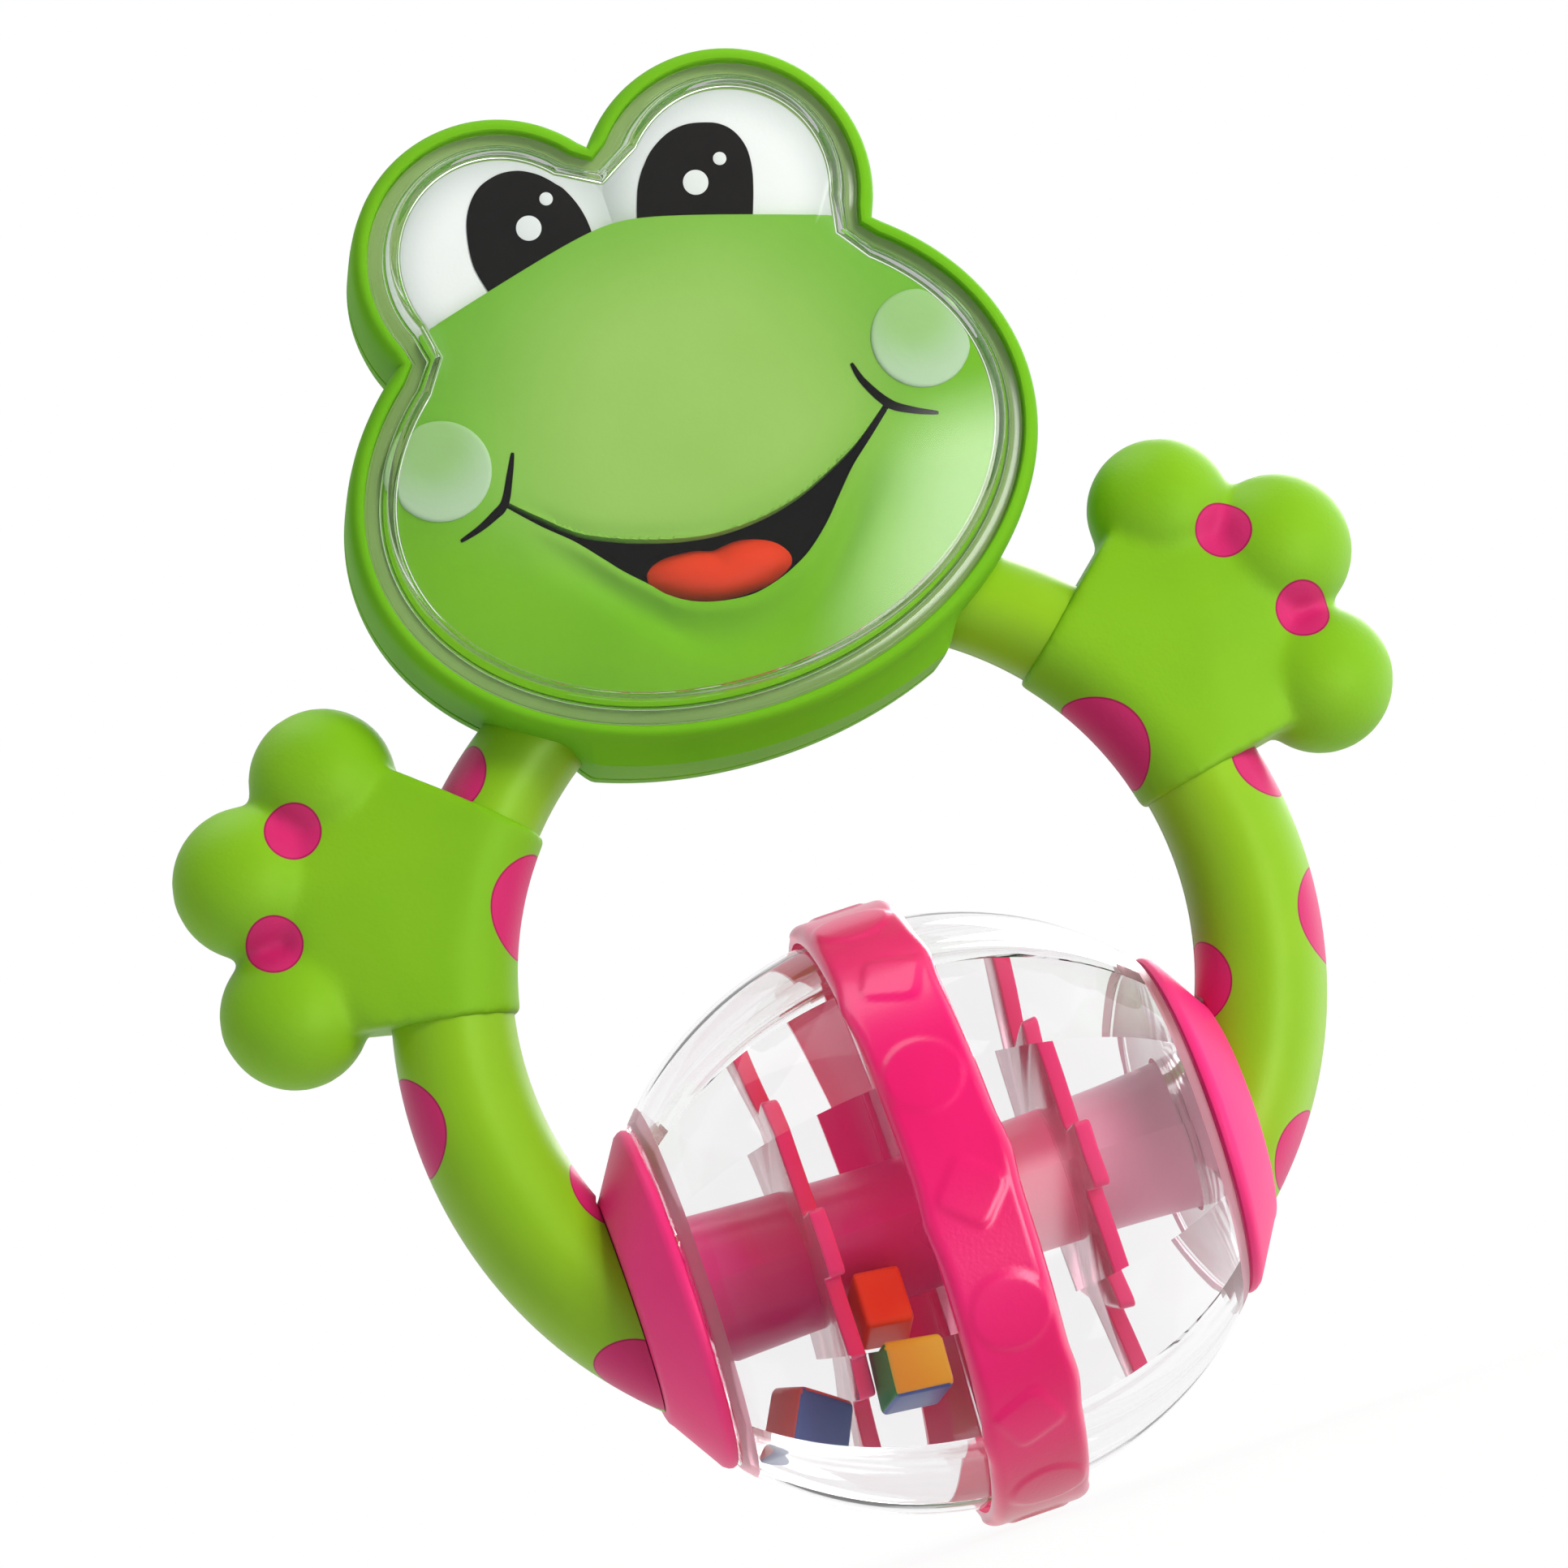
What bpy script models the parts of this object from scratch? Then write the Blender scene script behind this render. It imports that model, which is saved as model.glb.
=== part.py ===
"""Frog rattle: a frog's head on a ring of two arms, with a clear ball that turns between the arms' ends.

Front is -Y, up is +Z, and the ring lies in the plane y = 0. The ball turns about an axle along X.
"""

import math

import bmesh
import bpy
from mathutils import Matrix, Vector

MM = 0.001

# Clearances
FIT_GAP = 0.3 * MM  # between pieces that seat on each other
RUN_GAP = 0.5 * MM  # between the turning ball and what stays still
LANE_GAP = 0.6 * MM  # around the path of a bead
OVERCUT = 2.0 * MM  # how far a cutter reaches past what it cuts
WELD = 0.002 * MM  # points this close are one

# Ball
BAND_THICKNESS = 1.9 * MM
BAND_WIDTH = 10.4 * MM
BAND_EDGE = 1.3 * MM  # rounding of the band's outer edges
SHELL_RADIUS = 32.0 * MM
SHELL_REACH = 36.0 * MM  # half length of the whole ellipsoid that the shells are cut from
SHELL_END = 28.7 * MM  # where the shells are cut off, from the middle
SHELL_WALL = 1.6 * MM
HUB_RADIUS = 7.25 * MM
HUB_WALL = 2.65 * MM
HUB_PROUD = 0.3 * MM  # how far the hub stands out of the shells
BUSH_LENGTH = 6.0 * MM
BUSH_FLANGE = 1.0 * MM
BUSH_FLANGE_RADIUS = 6.4 * MM
AXLE_RADIUS = 3.0 * MM
AXLE_GRIP = 4.2 * MM  # how deep the axle goes into each arm
BAFFLE_PITCH = 14.5 * MM
BAFFLE_THICKNESS = 1.8 * MM
BAFFLE_ARM_WIDTH = 26.0 * MM
BAFFLE_SHOULDER = 16.5 * MM
BAFFLE_TIP_WIDTH = 7.5 * MM
BAFFLE_TIP = 23.5 * MM
BEAD_LARGE = 8.2 * MM
BEAD_SMALL = 6.2 * MM
BEAD_EDGE = 0.9 * MM
BEAD_ANGLES = (15.0, 41.0, 50.0)  # degrees from straight down, towards the front

# Collars
COLLAR_LENGTH = 5.3 * MM
COLLAR_RADIUS = 19.0 * MM
COLLAR_BACK_RADIUS = 12.7 * MM
COLLAR_EDGE = 0.7 * MM

# Arms
RING_HEIGHT = 27.3 * MM  # centre of the ring's inner circle above the axle
RING_RADIUS = 37.05 * MM
ARM_LOW_RADIUS = 7.3 * MM
ARM_HIGH_RADIUS = 5.3 * MM
ARM_WALL = 2.2 * MM
ARM_LOW_ANGLE = -35.0  # degrees above the ring's centre, where the taper starts
ARM_HIGH_ANGLE = 62.0
ARM_TAPER = 1.5
ARM_START_ANGLE = -64.0
ARM_END_ANGLE = 66.0
ARM_HOLLOW_ANGLE = -20.0  # the arm is solid below this, where it grips the axle

# Hands
SLEEVE_WALL = 1.0 * MM
SLEEVE_ANGLES = (11.0, 41.5)
FINGERS = (  # out, above the ring's centre, radius
    (48.0 * MM, 37.5 * MM, 8.1 * MM),
    (58.9 * MM, 29.5 * MM, 8.4 * MM),
    (58.7 * MM, 14.4 * MM, 8.2 * MM),
)
FINGER_FLATTEN = 0.9
PALM_RADIUS = 4.8 * MM
PALM_DEPTH = 6.6 * MM
PALM_ANGLES = (16.0, 26.0, 37.0)

# Head casing
HEAD_HEIGHT = 83.5 * MM  # centre of the head above the axle
HEAD_HALF_WIDTH = 38.2 * MM
HEAD_HALF_HEIGHT = 29.0 * MM
EYE_OUT = 13.0 * MM
EYE_UP = 27.7 * MM  # above the head's centre
EYE_RADIUS = 16.1 * MM
SKIRT_HALF_WIDTH = 20.4 * MM
SKIRT_DROP = 1.8 * MM  # below the head's oval at the middle
SKIRT_CORNER = 1.0 * MM
CASE_WALL = 2.0 * MM
CASE_PARTING = 3.0 * MM
CASE_FRONT = 11.4 * MM
CASE_BACK = 9.8 * MM
BACK_WALL = 2.4 * MM
BACK_EDGE = 2.2 * MM
BEZEL_WIDTH = 1.9 * MM
BEZEL_EDGE = 0.9 * MM
LEDGE_DEPTH = 1.8 * MM  # of the window's seat, behind the bezel's front
LEDGE_WIDTH = 1.6 * MM
LIP_THICKNESS = 1.6 * MM
SKIRT_START = 4.4 * MM  # behind the bezel's front

# Window
WINDOW_FLANGE = 1.1 * MM
WINDOW_STEP = 3.2 * MM
WINDOW_STEP_INSET = 0.4 * MM
WINDOW_SHOULDER = 1.1 * MM
WINDOW_CROWN = 2.2 * MM
WINDOW_WALL = 1.4 * MM

# Face
FACE_EDGE = 2.2 * MM  # thickness at the rim
FACE_CROWN = 2.5 * MM
EYE_PLATE = 2.2 * MM
ARCH_TOP = 29.0 * MM  # top of the muzzle above the head's centre
ARCH_DROP = 16.3 * MM  # from the arch's top to where it would meet the head's sides
MOUTH_HALF_WIDTH = 17.5 * MM
MOUTH_TOP = -5.8 * MM  # middle of the upper lip from the head's centre
MOUTH_BOTTOM = -13.8 * MM
MOUTH_CORNER = -1.4 * MM
MOUTH_PLATE = 1.7 * MM
TONGUE_CENTRE = -1.0 * MM
TONGUE_HALF_WIDTH = 6.9 * MM
TONGUE_MIDDLE = -10.4 * MM
TONGUE_RISE = 2.8 * MM
TONGUE_CROWN = 1.5 * MM
PUPIL_OUT = 8.9 * MM
PUPIL_HALF_WIDTH = 6.4 * MM
PUPIL_RISE = 9.8 * MM
PUPIL_LEAN = 14.0  # degrees
PUPIL_THICKNESS = 0.6 * MM

# Screws
SCREW_INSET = 5.2 * MM
SCREW_RADIUS = 1.2 * MM
SCREW_LENGTH = 10.0 * MM
SCREW_HEAD_RADIUS = 2.3 * MM
SCREW_HEAD = 0.9 * MM
SCREW_SLOT = 0.6 * MM
BOSS_RADIUS = 2.6 * MM

# Fineness of round shapes
TURN_STEPS = 36
SMALL_TURN_STEPS = 20
TUBE_SIDES = 20
HOLLOW_SIDES = 12
ARM_STEP_ANGLE = 8.0
CHIN_STEPS = 4
CHEEK_STEPS = 9
EYE_STEPS = 9
SHELL_STEPS = 6
LOBE_STEPS = 16
SCREW_SIDES = 12

BAND_INSIDE = SHELL_RADIUS + FIT_GAP
BAND_RADIUS = BAND_INSIDE + BAND_THICKNESS
AXLE_Z = BAND_RADIUS
RING_Z = AXLE_Z + RING_HEIGHT
HEAD_Z = AXLE_Z + HEAD_HEIGHT
COLLAR_FRONT = SHELL_END + RUN_GAP
COLLAR_BACK = COLLAR_FRONT + COLLAR_LENGTH
ARM_CUT = COLLAR_BACK + FIT_GAP
HUB_END = SHELL_END + HUB_PROUD
SEAT_Y = -(CASE_FRONT - LEDGE_DEPTH)
LIP_REAR_Y = SEAT_Y + LIP_THICKNESS
LIP_INSET = BEZEL_WIDTH + LEDGE_WIDTH
FACE_REAR_Y = LIP_REAR_Y
FACE_INSET = LIP_INSET + FIT_GAP
SIDES = (("left", -1), ("right", 1))


def clear_scene():
    for old in list(bpy.data.objects):
        bpy.data.objects.remove(old, do_unlink=True)


def material(name, colour, roughness, transmission=0.0, metallic=0.0):
    made = bpy.data.materials.new(name)
    made.use_nodes = True
    shader = made.node_tree.nodes["Principled BSDF"]
    shader.inputs["Base Color"].default_value = (*colour, 1.0)
    shader.inputs["Roughness"].default_value = roughness
    shader.inputs["Metallic"].default_value = metallic
    shader.inputs["Transmission Weight"].default_value = transmission
    return made


def make_object(name, shape, look=None, place=(0, 0, 0), parent=None):
    bmesh.ops.remove_doubles(shape, verts=shape.verts, dist=WELD)
    bmesh.ops.recalc_face_normals(shape, faces=shape.faces)
    mesh = bpy.data.meshes.new(name)
    shape.to_mesh(mesh)
    shape.free()
    mesh.shade_smooth()
    mesh.set_sharp_from_angle(angle=math.radians(40))
    made = bpy.data.objects.new(name, mesh)
    made.location = place
    made.parent = parent
    bpy.context.collection.objects.link(made)
    if look:
        mesh.materials.append(look)
    else:
        made.hide_render = True
        made.display_type = "WIRE"
    return made


def cut(target, cutter, operation="DIFFERENCE"):
    change = target.modifiers.new(cutter.name, "BOOLEAN")
    change.operation = operation
    change.solver = "EXACT"
    change.object = cutter


def pivot(name, place):
    made = bpy.data.objects.new(name, None)
    made.location = place
    bpy.context.collection.objects.link(made)
    return made


def loft(rings, wrap=False, shape=None):
    """A skin over rings of equal point counts, closed by caps or, where it wraps, by the first ring."""
    shape = shape or bmesh.new()
    loops = [[shape.verts.new(point) for point in ring] for ring in rings]
    following = loops[1:] + loops[:1] if wrap else loops[1:]
    for near, far in zip(loops, following):
        for k in range(len(near)):
            after = (k + 1) % len(near)
            shape.faces.new((near[k], near[after], far[after], far[k]))
    if not wrap:
        shape.faces.new(loops[0])
        shape.faces.new(loops[-1])
    return shape


def turned(profile, steps):
    """A closed profile of (x, radius) points, spun about the X axis."""
    shape = bmesh.new()
    points = [shape.verts.new((x, 0, radius)) for x, radius in profile]
    edges = [shape.edges.new((a, b)) for a, b in zip(points, points[1:] + points[:1])]
    bmesh.ops.spin(
        shape, geom=points + edges, cent=(0, 0, 0), axis=(1, 0, 0), angle=math.tau, steps=steps, use_merge=True
    )
    return shape


def mirrored(profile, side):
    return [(side * x, radius) for x, radius in profile]


def prism(outline, near_y, far_y, shape=None):
    rings = [[(x, y, z) for x, z in outline] for y in (near_y, far_y)]
    return loft(rings, shape=shape)


def steps_between(first, last, count):
    return [first + (last - first) * k / count for k in range(count + 1)]


def circle(centre_x, centre_z, radius, sides):
    angles = [math.tau * k / sides for k in range(sides)]
    return [(centre_x + radius * math.cos(a), centre_z + radius * math.sin(a)) for a in angles]


def lozenge(start, end, radius):
    """Outline with round ends about two points."""
    away = math.atan2(end[1] - start[1], end[0] - start[0])
    outline = []
    for (x, z), turn in ((end, -math.pi / 2), (start, math.pi / 2)):
        for angle in steps_between(away + turn, away + turn + math.pi, SCREW_SIDES // 2):
            outline.append((x + radius * math.cos(angle), z + radius * math.sin(angle)))
    return outline


# Head outline


def waist_angle():
    """Where the head's oval meets the eye's circle."""
    low, high = 0.0, math.pi / 2
    for _ in range(50):
        middle = (low + high) / 2
        x = HEAD_HALF_WIDTH * math.cos(middle) - EYE_OUT
        z = HEAD_HALF_HEIGHT * math.sin(middle) - EYE_UP
        if math.hypot(x, z) > EYE_RADIUS:
            low = middle
        else:
            high = middle
    return low


def head_outline(skirt):
    """The head from the front, counter-clockwise from the chin, with or without the skirt below it."""
    right = []
    for x in steps_between(0.0, SKIRT_HALF_WIDTH, CHIN_STEPS):
        drop = SKIRT_DROP * (1 + 0.3 * (x / SKIRT_HALF_WIDTH) ** 2) if skirt else 0.0
        right.append((x, HEAD_Z - HEAD_HALF_HEIGHT * math.sqrt(1 - (x / HEAD_HALF_WIDTH) ** 2) - drop))
    start = -math.acos((SKIRT_HALF_WIDTH + SKIRT_CORNER) / HEAD_HALF_WIDTH)
    waist = waist_angle()
    for angle in steps_between(start, waist, CHEEK_STEPS):
        right.append((HEAD_HALF_WIDTH * math.cos(angle), HEAD_Z + HEAD_HALF_HEIGHT * math.sin(angle)))
    meet_x, meet_z = right[-1]
    eye_z = HEAD_Z + EYE_UP
    first = math.atan2(meet_z - eye_z, meet_x - EYE_OUT)
    notch = math.pi - math.acos(EYE_OUT / EYE_RADIUS)
    for angle in steps_between(first, notch, EYE_STEPS)[1:]:
        right.append((EYE_OUT + EYE_RADIUS * math.cos(angle), eye_z + EYE_RADIUS * math.sin(angle)))
    left = [(-x, z) for x, z in reversed(right[1:-1])]
    return right + left


def inset(outline, distance):
    """The outline moved inwards, each corner along its bisector, with the notches kept round."""
    moved = []
    for k, point in enumerate(outline):
        here = Vector(point)
        before = (here - Vector(outline[k - 1])).normalized()
        after = (Vector(outline[(k + 1) % len(outline)]) - here).normalized()
        first, second = Vector((-before.y, before.x)), Vector((-after.y, after.x))
        inward = (first + second).normalized()
        notch = before.cross(after) < 0
        stretch = 1.0 if notch else 1 / max(inward.dot(first), 0.5)
        moved.append(tuple(here + inward * distance * stretch))
    return moved


def shrunk(outline, share):
    """The outline drawn in towards the middle of the face."""
    return [(x * share, HEAD_Z + (z - HEAD_Z) * share) for x, z in outline]


def at_depth(outline, y):
    return [(x, y, z) for x, z in outline]


def crowned(rim, rim_y, rise, shares):
    """Rings from a rim to the top of a low dome towards the front."""
    return [at_depth(shrunk(rim, share), rim_y - rise * (1 - share * share)) for share in shares]


DOME_SHARES = (0.92, 0.72, 0.4)
PLAIN = head_outline(skirt=False)
CHIN = head_outline(skirt=True)


def screw_seats():
    """Each screw's place on the casing, with the end of its boss that grows out of the wall."""
    seats = []
    root_inset = BOSS_RADIUS + CASE_WALL / 2
    eye_top = HEAD_Z + EYE_UP + EYE_RADIUS
    for _, side in SIDES:
        eye_x = side * EYE_OUT
        seats.append(((eye_x, eye_top - SCREW_INSET), (eye_x, eye_top - root_inset)))
        cheek = [side * (HEAD_HALF_WIDTH - away) for away in (SCREW_INSET, root_inset)]
        seats.append(((cheek[0], HEAD_Z), (cheek[1], HEAD_Z)))
    return seats


# Arms


def arm_radius(angle):
    share = (angle - ARM_LOW_ANGLE) / (ARM_HIGH_ANGLE - ARM_LOW_ANGLE)
    share = min(max(share, 0.0), 1.0)
    return ARM_LOW_RADIUS + (ARM_HIGH_RADIUS - ARM_LOW_RADIUS) * share**ARM_TAPER


def arm_centre(side, angle):
    reach = RING_RADIUS + arm_radius(angle)
    turn = math.radians(angle)
    return Vector((side * reach * math.cos(turn), 0, RING_Z + reach * math.sin(turn)))


def arm_tube(side, thicker, first, last, sides=TUBE_SIDES, shape=None):
    """A round tube along the arm, thicker or thinner than the arm itself."""
    rings = []
    for angle in steps_between(first, last, max(4, round((last - first) / ARM_STEP_ANGLE))):
        centre = arm_centre(side, angle)
        turn = math.radians(angle)
        outward = Vector((side * math.cos(turn), 0, math.sin(turn)))
        radius = arm_radius(angle) + thicker
        ring = []
        for k in range(sides):
            around = math.tau * (k + 0.5) / sides
            ring.append(centre + radius * (math.cos(around) * outward + Vector((0, math.sin(around), 0))))
        rings.append(ring)
    return loft(rings, shape=shape)


def block(low, high):
    shape = bmesh.new()
    bmesh.ops.create_cube(shape, size=1.0)
    low, high = Vector(low), Vector(high)
    bmesh.ops.scale(shape, vec=high - low, verts=shape.verts)
    bmesh.ops.translate(shape, vec=(low + high) / 2, verts=shape.verts)
    return shape


def build_arms(look):
    reach = 4 * RING_RADIUS
    splits = {
        "front": make_object("arm_front_split", block((-reach, -FIT_GAP / 2, -reach), (reach, reach, reach))),
        "rear": make_object("arm_rear_split", block((-reach, -reach, -reach), (reach, FIT_GAP / 2, reach))),
    }
    low_end = make_object(
        "arm_low_end", block((-ARM_CUT, -reach, AXLE_Z - reach), (ARM_CUT, reach, RING_Z - ARM_LOW_RADIUS))
    )
    bore_length = ARM_CUT + AXLE_GRIP + FIT_GAP
    bore = [(-bore_length, 0), (bore_length, 0)]
    bore += [(x, AXLE_RADIUS + FIT_GAP) for x, _ in reversed(bore)]
    axle_bore = make_object("arm_axle_bore", turned(bore, SMALL_TURN_STEPS), place=(0, 0, AXLE_Z))
    for name, side in SIDES:
        hollow_shape = arm_tube(side, -ARM_WALL, ARM_HOLLOW_ANGLE, ARM_END_ANGLE + ARM_STEP_ANGLE, HOLLOW_SIDES)
        hollow = make_object(f"{name}_arm_hollow", hollow_shape)
        for half, split in splits.items():
            arm = make_object(f"{name}_arm_{half}", arm_tube(side, 0.0, ARM_START_ANGLE, ARM_END_ANGLE), look)
            for cutter in (low_end, hollow, axle_bore, split):
                cut(arm, cutter)


def ellipsoid(centre, radii, shape=None):
    shape = shape or bmesh.new()
    made = bmesh.ops.create_uvsphere(shape, u_segments=LOBE_STEPS, v_segments=LOBE_STEPS // 2, radius=1.0)
    place = Matrix.Translation(centre) @ Matrix.Diagonal((*radii, 1.0))
    bmesh.ops.transform(shape, matrix=place, verts=made["verts"])
    return shape


def finger_centre(side, finger):
    out, up, _ = finger
    return Vector((side * out, 0, RING_Z + up))


def build_hands(look):
    for name, side in SIDES:
        palm = bmesh.new()
        for finger in FINGERS:
            ellipsoid(finger_centre(side, finger), (PALM_RADIUS, PALM_DEPTH, PALM_RADIUS), palm)
        for angle in PALM_ANGLES:
            thick = arm_radius(angle) + SLEEVE_WALL / 2
            ellipsoid(arm_centre(side, angle), (thick, thick, thick), palm)
        hull = bmesh.ops.convex_hull(palm, input=palm.verts)
        inner = {item for item in hull["geom_interior"] if isinstance(item, bmesh.types.BMVert)}
        bmesh.ops.delete(palm, geom=list(inner), context="VERTS")
        hull_faces = {item for item in hull["geom"] if isinstance(item, bmesh.types.BMFace)}
        stray = [face for face in palm.faces if face not in hull_faces]
        bmesh.ops.delete(palm, geom=stray, context="FACES_ONLY")
        hand = make_object(f"{name}_hand", palm, look)
        sleeve = make_object(f"{name}_sleeve", arm_tube(side, SLEEVE_WALL, *SLEEVE_ANGLES))
        cut(hand, sleeve, "UNION")
        for k, finger in enumerate(FINGERS):
            radius = finger[2]
            lobe = ellipsoid(finger_centre(side, finger), (radius, radius * FINGER_FLATTEN, radius))
            cut(hand, make_object(f"{name}_finger_{k + 1}", lobe), "UNION")
        first, last = SLEEVE_ANGLES
        bore = arm_tube(side, FIT_GAP, first - ARM_STEP_ANGLE, last + ARM_STEP_ANGLE)
        cut(hand, make_object(f"{name}_hand_bore", bore))


# Ball, collars and axle


def shell_radius(x, wall=0.0):
    return (SHELL_RADIUS - wall) * math.sqrt(max(0.0, 1 - (x / (SHELL_REACH - wall)) ** 2))


def build_ball(looks, ball):
    joint = FIT_GAP / 2
    outer = [(x, shell_radius(x)) for x in steps_between(joint, SHELL_END, SHELL_STEPS)]
    end = SHELL_END - SHELL_WALL
    inner = [(x, shell_radius(x, SHELL_WALL)) for x in steps_between(end, joint, SHELL_STEPS)]
    neck = HUB_RADIUS + FIT_GAP
    shell = outer + [(SHELL_END, neck), (end, neck)] + inner
    bush_radius = HUB_RADIUS - HUB_WALL - FIT_GAP
    bush_hole = AXLE_RADIUS + FIT_GAP
    seat = HUB_END + FIT_GAP
    bush = [
        (HUB_END - BUSH_LENGTH, bush_hole),
        (seat + BUSH_FLANGE, bush_hole),
        (seat + BUSH_FLANGE, BUSH_FLANGE_RADIUS),
        (seat, BUSH_FLANGE_RADIUS),
        (seat, bush_radius),
        (HUB_END - BUSH_LENGTH, bush_radius),
    ]
    for name, side in SIDES:
        make_object(f"{name}_shell", turned(mirrored(shell, side), TURN_STEPS), looks["clear"], parent=ball)
        make_object(f"{name}_bush", turned(mirrored(bush, side), SMALL_TURN_STEPS), looks["bush"], parent=ball)
    half = BAND_WIDTH / 2
    band = [(-half, BAND_INSIDE), (half, BAND_INSIDE)]
    for angle in steps_between(0.0, math.pi / 2, 3):
        band.append((half - BAND_EDGE * (1 - math.cos(angle)), BAND_RADIUS - BAND_EDGE * (1 - math.sin(angle))))
    band += [(-x, radius) for x, radius in reversed(band[2:])]
    make_object("grip_band", turned(band, TURN_STEPS), looks["band"], parent=ball)
    inside = HUB_RADIUS - HUB_WALL
    hub = [(-HUB_END, inside), (HUB_END, inside), (HUB_END, HUB_RADIUS), (-HUB_END, HUB_RADIUS)]
    make_object("spool_hub", turned(hub, SMALL_TURN_STEPS), looks["spool"], parent=ball)
    build_baffles(looks["spool"], ball)


def baffle_outline():
    """A cross with a narrow tip on each arm, as (y, z) points about the axle."""
    arm, tip = BAFFLE_ARM_WIDTH / 2, BAFFLE_TIP_WIDTH / 2
    quarter = [(arm, arm), (BAFFLE_SHOULDER, arm), (BAFFLE_SHOULDER, tip), (BAFFLE_TIP, tip)]
    quarter += [(y, -z) for y, z in reversed(quarter[1:])]
    outline = []
    for k in range(4):
        turn = Matrix.Rotation(-math.pi / 2 * k, 2)
        outline += [tuple(turn @ Vector(point)) for point in quarter]
    return outline


def build_baffles(look, ball):
    half = BAFFLE_THICKNESS / 2
    hole = HUB_RADIUS + FIT_GAP
    for name, place in (("left", -BAFFLE_PITCH), ("middle", 0.0), ("right", BAFFLE_PITCH)):
        rings = [[(place + x, y, z) for y, z in baffle_outline()] for x in (-half, half)]
        baffle = make_object(f"{name}_baffle", loft(rings), look, parent=ball)
        ends = (place - OVERCUT, place + OVERCUT)
        bore = [(ends[0], 0), (ends[1], 0), (ends[1], hole), (ends[0], hole)]
        cut(baffle, make_object(f"{name}_baffle_bore", turned(bore, SMALL_TURN_STEPS), parent=ball))


def build_collars(looks):
    recess_floor = HUB_END + FIT_GAP + BUSH_FLANGE + RUN_GAP
    recess_radius = HUB_RADIUS + RUN_GAP
    hole = AXLE_RADIUS + FIT_GAP
    profile = [
        (recess_floor, hole),
        (COLLAR_BACK, hole),
        (COLLAR_BACK, COLLAR_BACK_RADIUS - COLLAR_EDGE),
        (COLLAR_BACK - COLLAR_EDGE / 2, COLLAR_BACK_RADIUS),
        (COLLAR_FRONT + 2 * COLLAR_EDGE, COLLAR_RADIUS - COLLAR_EDGE / 2),
        (COLLAR_FRONT + COLLAR_EDGE, COLLAR_RADIUS),
        (COLLAR_FRONT, COLLAR_RADIUS - COLLAR_EDGE / 2),
        (COLLAR_FRONT, recess_radius),
        (recess_floor, recess_radius),
    ]
    middle = (0, 0, AXLE_Z)
    for name, side in SIDES:
        cone = turned(mirrored(profile, side), TURN_STEPS)
        make_object(f"{name}_collar", cone, looks["collar"], place=middle)
    end = ARM_CUT + AXLE_GRIP
    axle = [(-end, 0), (end, 0), (end, AXLE_RADIUS), (-end, AXLE_RADIUS)]
    make_object("axle", turned(axle, SMALL_TURN_STEPS), looks["axle"], place=middle)


def bead_lanes():
    """Each bead's name, size, place along the axle and distance from it."""
    half_large, half_small = BEAD_LARGE / 2, BEAD_SMALL / 2
    end_x = -(BAFFLE_PITCH + BAFFLE_THICKNESS / 2 + LANE_GAP + half_large)
    room = shell_radius(abs(end_x) + half_large, SHELL_WALL) - LANE_GAP
    end_reach = math.sqrt(room * room - half_large * half_large) - half_large
    middle_x = -BAFFLE_PITCH / 2
    inner_reach = HUB_RADIUS + LANE_GAP + half_small
    inner_corner = math.hypot(inner_reach + half_small, half_small)
    return (
        ("bead_red_blue", BEAD_LARGE, end_x, end_reach),
        ("bead_green_yellow", BEAD_LARGE, middle_x, inner_corner + LANE_GAP + half_large),
        ("bead_orange", BEAD_SMALL, middle_x, inner_reach),
    )


def build_beads(looks):
    for (name, size, x, reach), angle in zip(bead_lanes(), BEAD_ANGLES):
        shape = bmesh.new()
        bmesh.ops.create_cube(shape, size=size)
        bmesh.ops.bevel(
            shape, geom=shape.edges[:], offset=BEAD_EDGE, segments=2, affect="EDGES", profile=0.5, material=-1
        )
        place = Matrix.Rotation(-math.radians(angle), 4, "X") @ Matrix.Translation((x, 0, -reach))
        bmesh.ops.transform(shape, matrix=place, verts=shape.verts)
        axis = pivot(f"{name}_pivot", (0, 0, AXLE_Z))
        make_object(name, shape, looks[name], parent=axis)


# Head


def arm_cutter(name):
    shape = bmesh.new()
    for _, side in SIDES:
        arm_tube(side, FIT_GAP, 0.0, ARM_END_ANGLE + ARM_STEP_ANGLE, shape=shape)
    return make_object(name, shape)


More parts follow.
